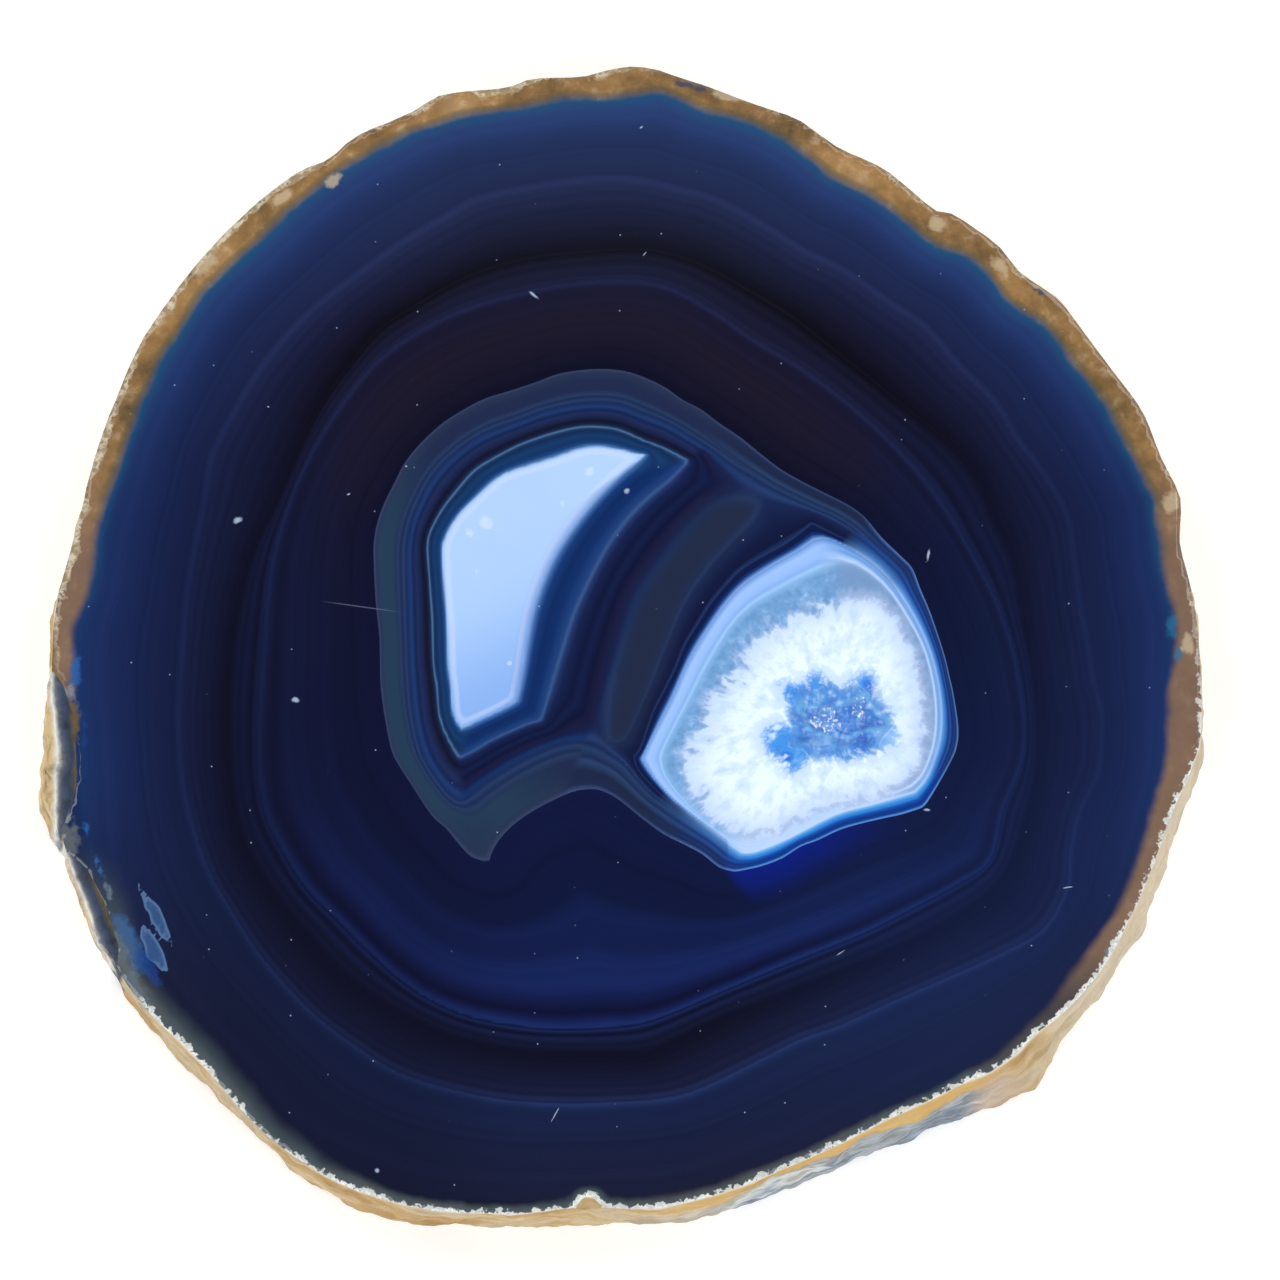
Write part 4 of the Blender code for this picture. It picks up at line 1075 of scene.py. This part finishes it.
# The rough side of the stone: tan and cream, ochre under the polished edge at the right of the
# foot and blue-grey below it, and the glassy ground of the two chips
def roughRind():
    material, tree, shader = newMaterial("roughRind")
    skin = placeGroup(tree, rind)
    place = newNode(tree, "TexCoord").outputs["Object"]
    split = newNode(tree, "SeparateXYZ")
    plug(tree, split.inputs[0], place)
    x, y, z = split.outputs
    layers = noiseOf(tree, place, 70, 4, 0.62, (1, 1, 4))
    colour = rampOf(tree, layers, [
        (0.3, (150, 122, 82)), (0.4, (184, 152, 100)), (0.48, (206, 178, 130)), (0.54, (222, 206, 170)),
        (0.6, (190, 176, 156)), (0.68, (206, 180, 128)), (0.76, (232, 226, 208)),
    ])
    colour = mixOf(tree, 0.35, colour, skin.outputs["Color"])
    grey = rampOf(tree, layers, [
        (0.34, (128, 132, 132)), (0.42, (168, 174, 178)), (0.47, (112, 122, 134)), (0.52, (150, 160, 172)),
        (0.57, (206, 210, 208)), (0.64, (160, 160, 152)), (0.74, (216, 214, 206)),
    ])
    pale = mathOf(tree, "MULTIPLY", fadeOf(tree, x, 0.037, 0.044), fadeOf(tree, y, -0.004, -0.012))
    colour = mixOf(tree, mathOf(tree, "MULTIPLY", pale, 0.6), colour, tone(206, 198, 180))
    right = mathOf(tree, "MULTIPLY", fadeOf(tree, x, 0.000, 0.012), fadeOf(tree, x, 0.038, 0.033))
    right = mathOf(tree, "MULTIPLY", right, fadeOf(tree, y, -0.026, -0.034))
    height = mathOf(tree, "ADD", z, mathOf(tree, "MULTIPLY", mathOf(tree, "SUBTRACT", layers, 0.5), 0.006))
    colour = mixOf(tree, mathOf(tree, "MULTIPLY", right, fadeOf(tree, height, 0.0052, 0.0040)), colour, grey)
    gold = mathOf(tree, "MULTIPLY", right, fadeOf(tree, height, 0.0046, 0.0054))
    colour = mixOf(tree, mathOf(tree, "MULTIPLY", gold, 0.65), colour, tone(206, 166, 92))
    bulge = mathOf(tree, "MULTIPLY", spotOf(tree, place, (35.6, -43.8), (7.0, 5.0), 30), 0.7)
    colour = mixOf(tree, bulge, colour, tone(190, 166, 142))
    # Painted shade: a dark spot at the foot of the pale bulge
    dark = mathOf(tree, "MULTIPLY", spotOf(tree, place, (35.4, -45.2), (1.6, 1.2), 20), 0.8)
    colour = mixOf(tree, dark, colour, tone(92, 92, 96))
    fresh = mathOf(tree, "ADD", fieldOf(tree, "edge"), mathOf(tree, "MULTIPLY", mathOf(tree, "SUBTRACT", layers, 0.5), 1.5))
    fresh = mathOf(tree, "MULTIPLY", fadeOf(tree, fresh, 0.4, 0.1), 0.7)
    colour = mixOf(tree, fresh, colour, tone(236, 232, 220))

    wiggle = mathOf(tree, "MULTIPLY", mathOf(tree, "SUBTRACT", noiseOf(tree, place, 160, 4, 0.6), 0.5), 2.0)
    ground = rampOf(tree, mathOf(tree, "ADD", fieldOf(tree, "across"), wiggle), [
        (0.0, (60, 64, 76)), (0.28, (86, 82, 68)), (0.5, (96, 82, 46)), (0.8, (70, 70, 72)),
        (1.1, (50, 60, 82)), (1.5, (58, 72, 96)), (1.8, (78, 84, 100)), (2.1, (104, 110, 118)), (2.3, (168, 170, 168)),
        (2.5, (226, 224, 218)), (2.7, (214, 200, 178)), (2.95, (204, 178, 136)), (3.6, (196, 172, 124)), (4.0, (222, 206, 170)),
    ], 4)
    # Painted light and shade: the chips' ground is darker in the low parts of the grain and lighter on its raised
    # points, following the bump height
    paintedGrainShade = rampOf(tree, skin.outputs["Height"], [(0.6, (190, 190, 190)), (0.85, (255, 255, 255))])
    ground = mixOf(tree, 1.0, ground, paintedGrainShade, "MULTIPLY")
    colour = mixOf(tree, fadeOf(tree, fieldOf(tree, "chip"), -0.15, 0.1), colour, ground)
    plug(tree, shader.inputs["Base Color"], colour)
    shader.inputs["Roughness"].default_value = 0.75
    shader.inputs["Specular IOR Level"].default_value = 0.2
    plug(tree, shader.inputs["Normal"], bumpOf(tree, skin.outputs["Height"], 0.8, 0.0005))
    return material


# The face's blue runs on into the hollow under a painted pale-blue sheen, with painted shade between the crystals and
# painted white glints
def blueQuartz():
    material, tree, shader = newMaterial("blueQuartz")
    drawn = placeGroup(tree, faceBands)
    place = newNode(tree, "TexCoord").outputs["Object"]
    deep, crest = fieldOf(tree, "deep"), fieldOf(tree, "crest")
    # Painted light: the whole crust is mixed towards pale blue as a painted sheen against the shade in the hollow
    colour = mixOf(tree, 0.16, drawn.outputs["Color"], tone(130, 200, 255))
    # Painted shade: darker between the crystals and deeper in the hollow
    dark = mathOf(tree, "MULTIPLY", fadeOf(tree, crest, 0.6, 0.2), fadeOf(tree, deep, 0.05, 0.6))
    colour = mixOf(tree, mathOf(tree, "MULTIPLY", dark, 0.3), colour, tone(30, 84, 184))
    # Painted highlights: the facets that shine, and fine glints on them, are lightened in the base colour
    shiningFacet = fadeOf(tree, fieldOf(tree, "shine"), 0.7, 0.8)
    colour = mixOf(tree, mathOf(tree, "MULTIPLY", shiningFacet, 0.25), colour, tone(150, 190, 236))
    glint = noiseOf(tree, place, 2600, 1, 0.5)
    glint = mathOf(tree, "MULTIPLY", fadeOf(tree, glint, 0.54, 0.64), mathOf(tree, "ADD", shiningFacet, 0.06))
    colour = mixOf(tree, mathOf(tree, "MULTIPLY", glint, 0.9), colour, tone(232, 242, 255))
    plug(tree, shader.inputs["Base Color"], colour)
    shader.inputs["Roughness"].default_value = 0.08
    shader.inputs["IOR"].default_value = 1.54
    shader.inputs["Transmission Weight"].default_value = 0.12
    return material


# Face 0 is the polish, 1 the sawn back and 2 the broken skin and chips
def dressStone():
    agateSlice.data.materials.clear()
    for material in (polishedAgate(), sawnAgate(), roughRind()):
        agateSlice.data.materials.append(material)
    for polygon, flat in zip(agateSlice.data.polygons, polished):
        inHollow = polygon.center.xy.length < 40 * mm
        polygon.material_index = 1 if polygon.center.z < 1e-5 else 0 if flat or inHollow else 2
    pick(agateSlice)
    bpy.ops.object.shade_smooth_by_angle(angle=math.radians(38))


dressStone()
blueDruse.data.materials.append(blueQuartz())
for piece, node, slot in ((agateSlice, "agate_slice", "banded_agate"), (blueDruse, "hollow_crystals", "blue_quartz")):
    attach(piece, "root")
    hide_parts(node)
print("agate slice: materials made")

# The table, the lights and the camera
studio = {
    "tableTone": 0.84,
    "tableGlow": 0.30,
    "panelHeight": 0.34,
    "panelWay": 0.40,
    "panelSize": 0.36,
    "panelPower": 1.217,
    "sky": [(0.0, 1.0), (0.06, 1.0), (0.2, 0.35), (0.3, 0.35), (0.8, 0.05)],   # brightness by height
    "lens": 222.7,
    "distance": 0.75,
    "tilt": 12,
    "target": (1.76, 0.14, 3.5),
}


def layTable():
    deselectAll()
    bpy.ops.mesh.primitive_grid_add(x_subdivisions=4, y_subdivisions=4, size=3.0)
    table = bpy.context.object
    table.name = "table"
    material, tree, shader = newMaterial("tableTop")
    value = studio["tableTone"]
    shader.inputs["Base Color"].default_value = (value, value, value, 1)
    shader.inputs["Roughness"].default_value = 0.6
    shader.inputs["Emission Color"].default_value = (1, 1, 1, 1)
    shader.inputs["Emission Strength"].default_value = studio["tableGlow"]
    table.data.materials.append(material)


def hangLights():
    for i in range(4):
        angle = math.radians(45 + 90 * i)
        bpy.ops.object.light_add(type="AREA", location=(math.cos(angle) * studio["panelWay"],
                                                        math.sin(angle) * studio["panelWay"], studio["panelHeight"]))
        panel = bpy.context.object
        panel.name = f"panel{i}"
        panel.data.shape = "SQUARE"
        panel.data.size = studio["panelSize"]
        panel.data.energy = studio["panelPower"]
        panel.rotation_euler = (-panel.location).to_track_quat("-Z", "Y").to_euler()


# Bright at the horizon and dark above, so that the polish stays deep
def makeSky():
    world = bpy.data.worlds.new("sky")
    bpy.context.scene.world = world
    world.use_nodes = True
    tree = world.node_tree
    place = newNode(tree, "TexCoord").outputs["Generated"]
    split = newNode(tree, "SeparateXYZ")
    plug(tree, split.inputs[0], place)
    ramp = newNode(tree, "ValToRGB")
    ramp.color_ramp.interpolation = "EASE"
    for i, (height, value) in enumerate(studio["sky"]):
        stop = ramp.color_ramp.elements[i] if i < 2 else ramp.color_ramp.elements.new(0.999)
        stop.position = height
        stop.color = (value, value, value, 1)
    plug(tree, ramp.inputs[0], split.outputs[2])
    plug(tree, tree.nodes["Background"].inputs["Color"], ramp.outputs[0])


def placeCamera():
    data = bpy.data.cameras.new("camera")
    camera = bpy.data.objects.new("camera", data)
    bpy.context.scene.collection.objects.link(camera)
    tilt = math.radians(studio["tilt"])
    target = Vector(studio["target"]) * mm
    camera.location = target + Vector((0, -math.sin(tilt), math.cos(tilt))) * studio["distance"]
    camera.rotation_euler = (tilt, 0, 0)
    data.sensor_width = 36
    data.lens = studio["lens"]
    data.clip_start = 0.01
    bpy.context.scene.camera = camera


layTable()
hangLights()
makeSky()
placeCamera()
bpy.context.scene.view_settings.view_transform = "Standard"
print("agate slice: done")
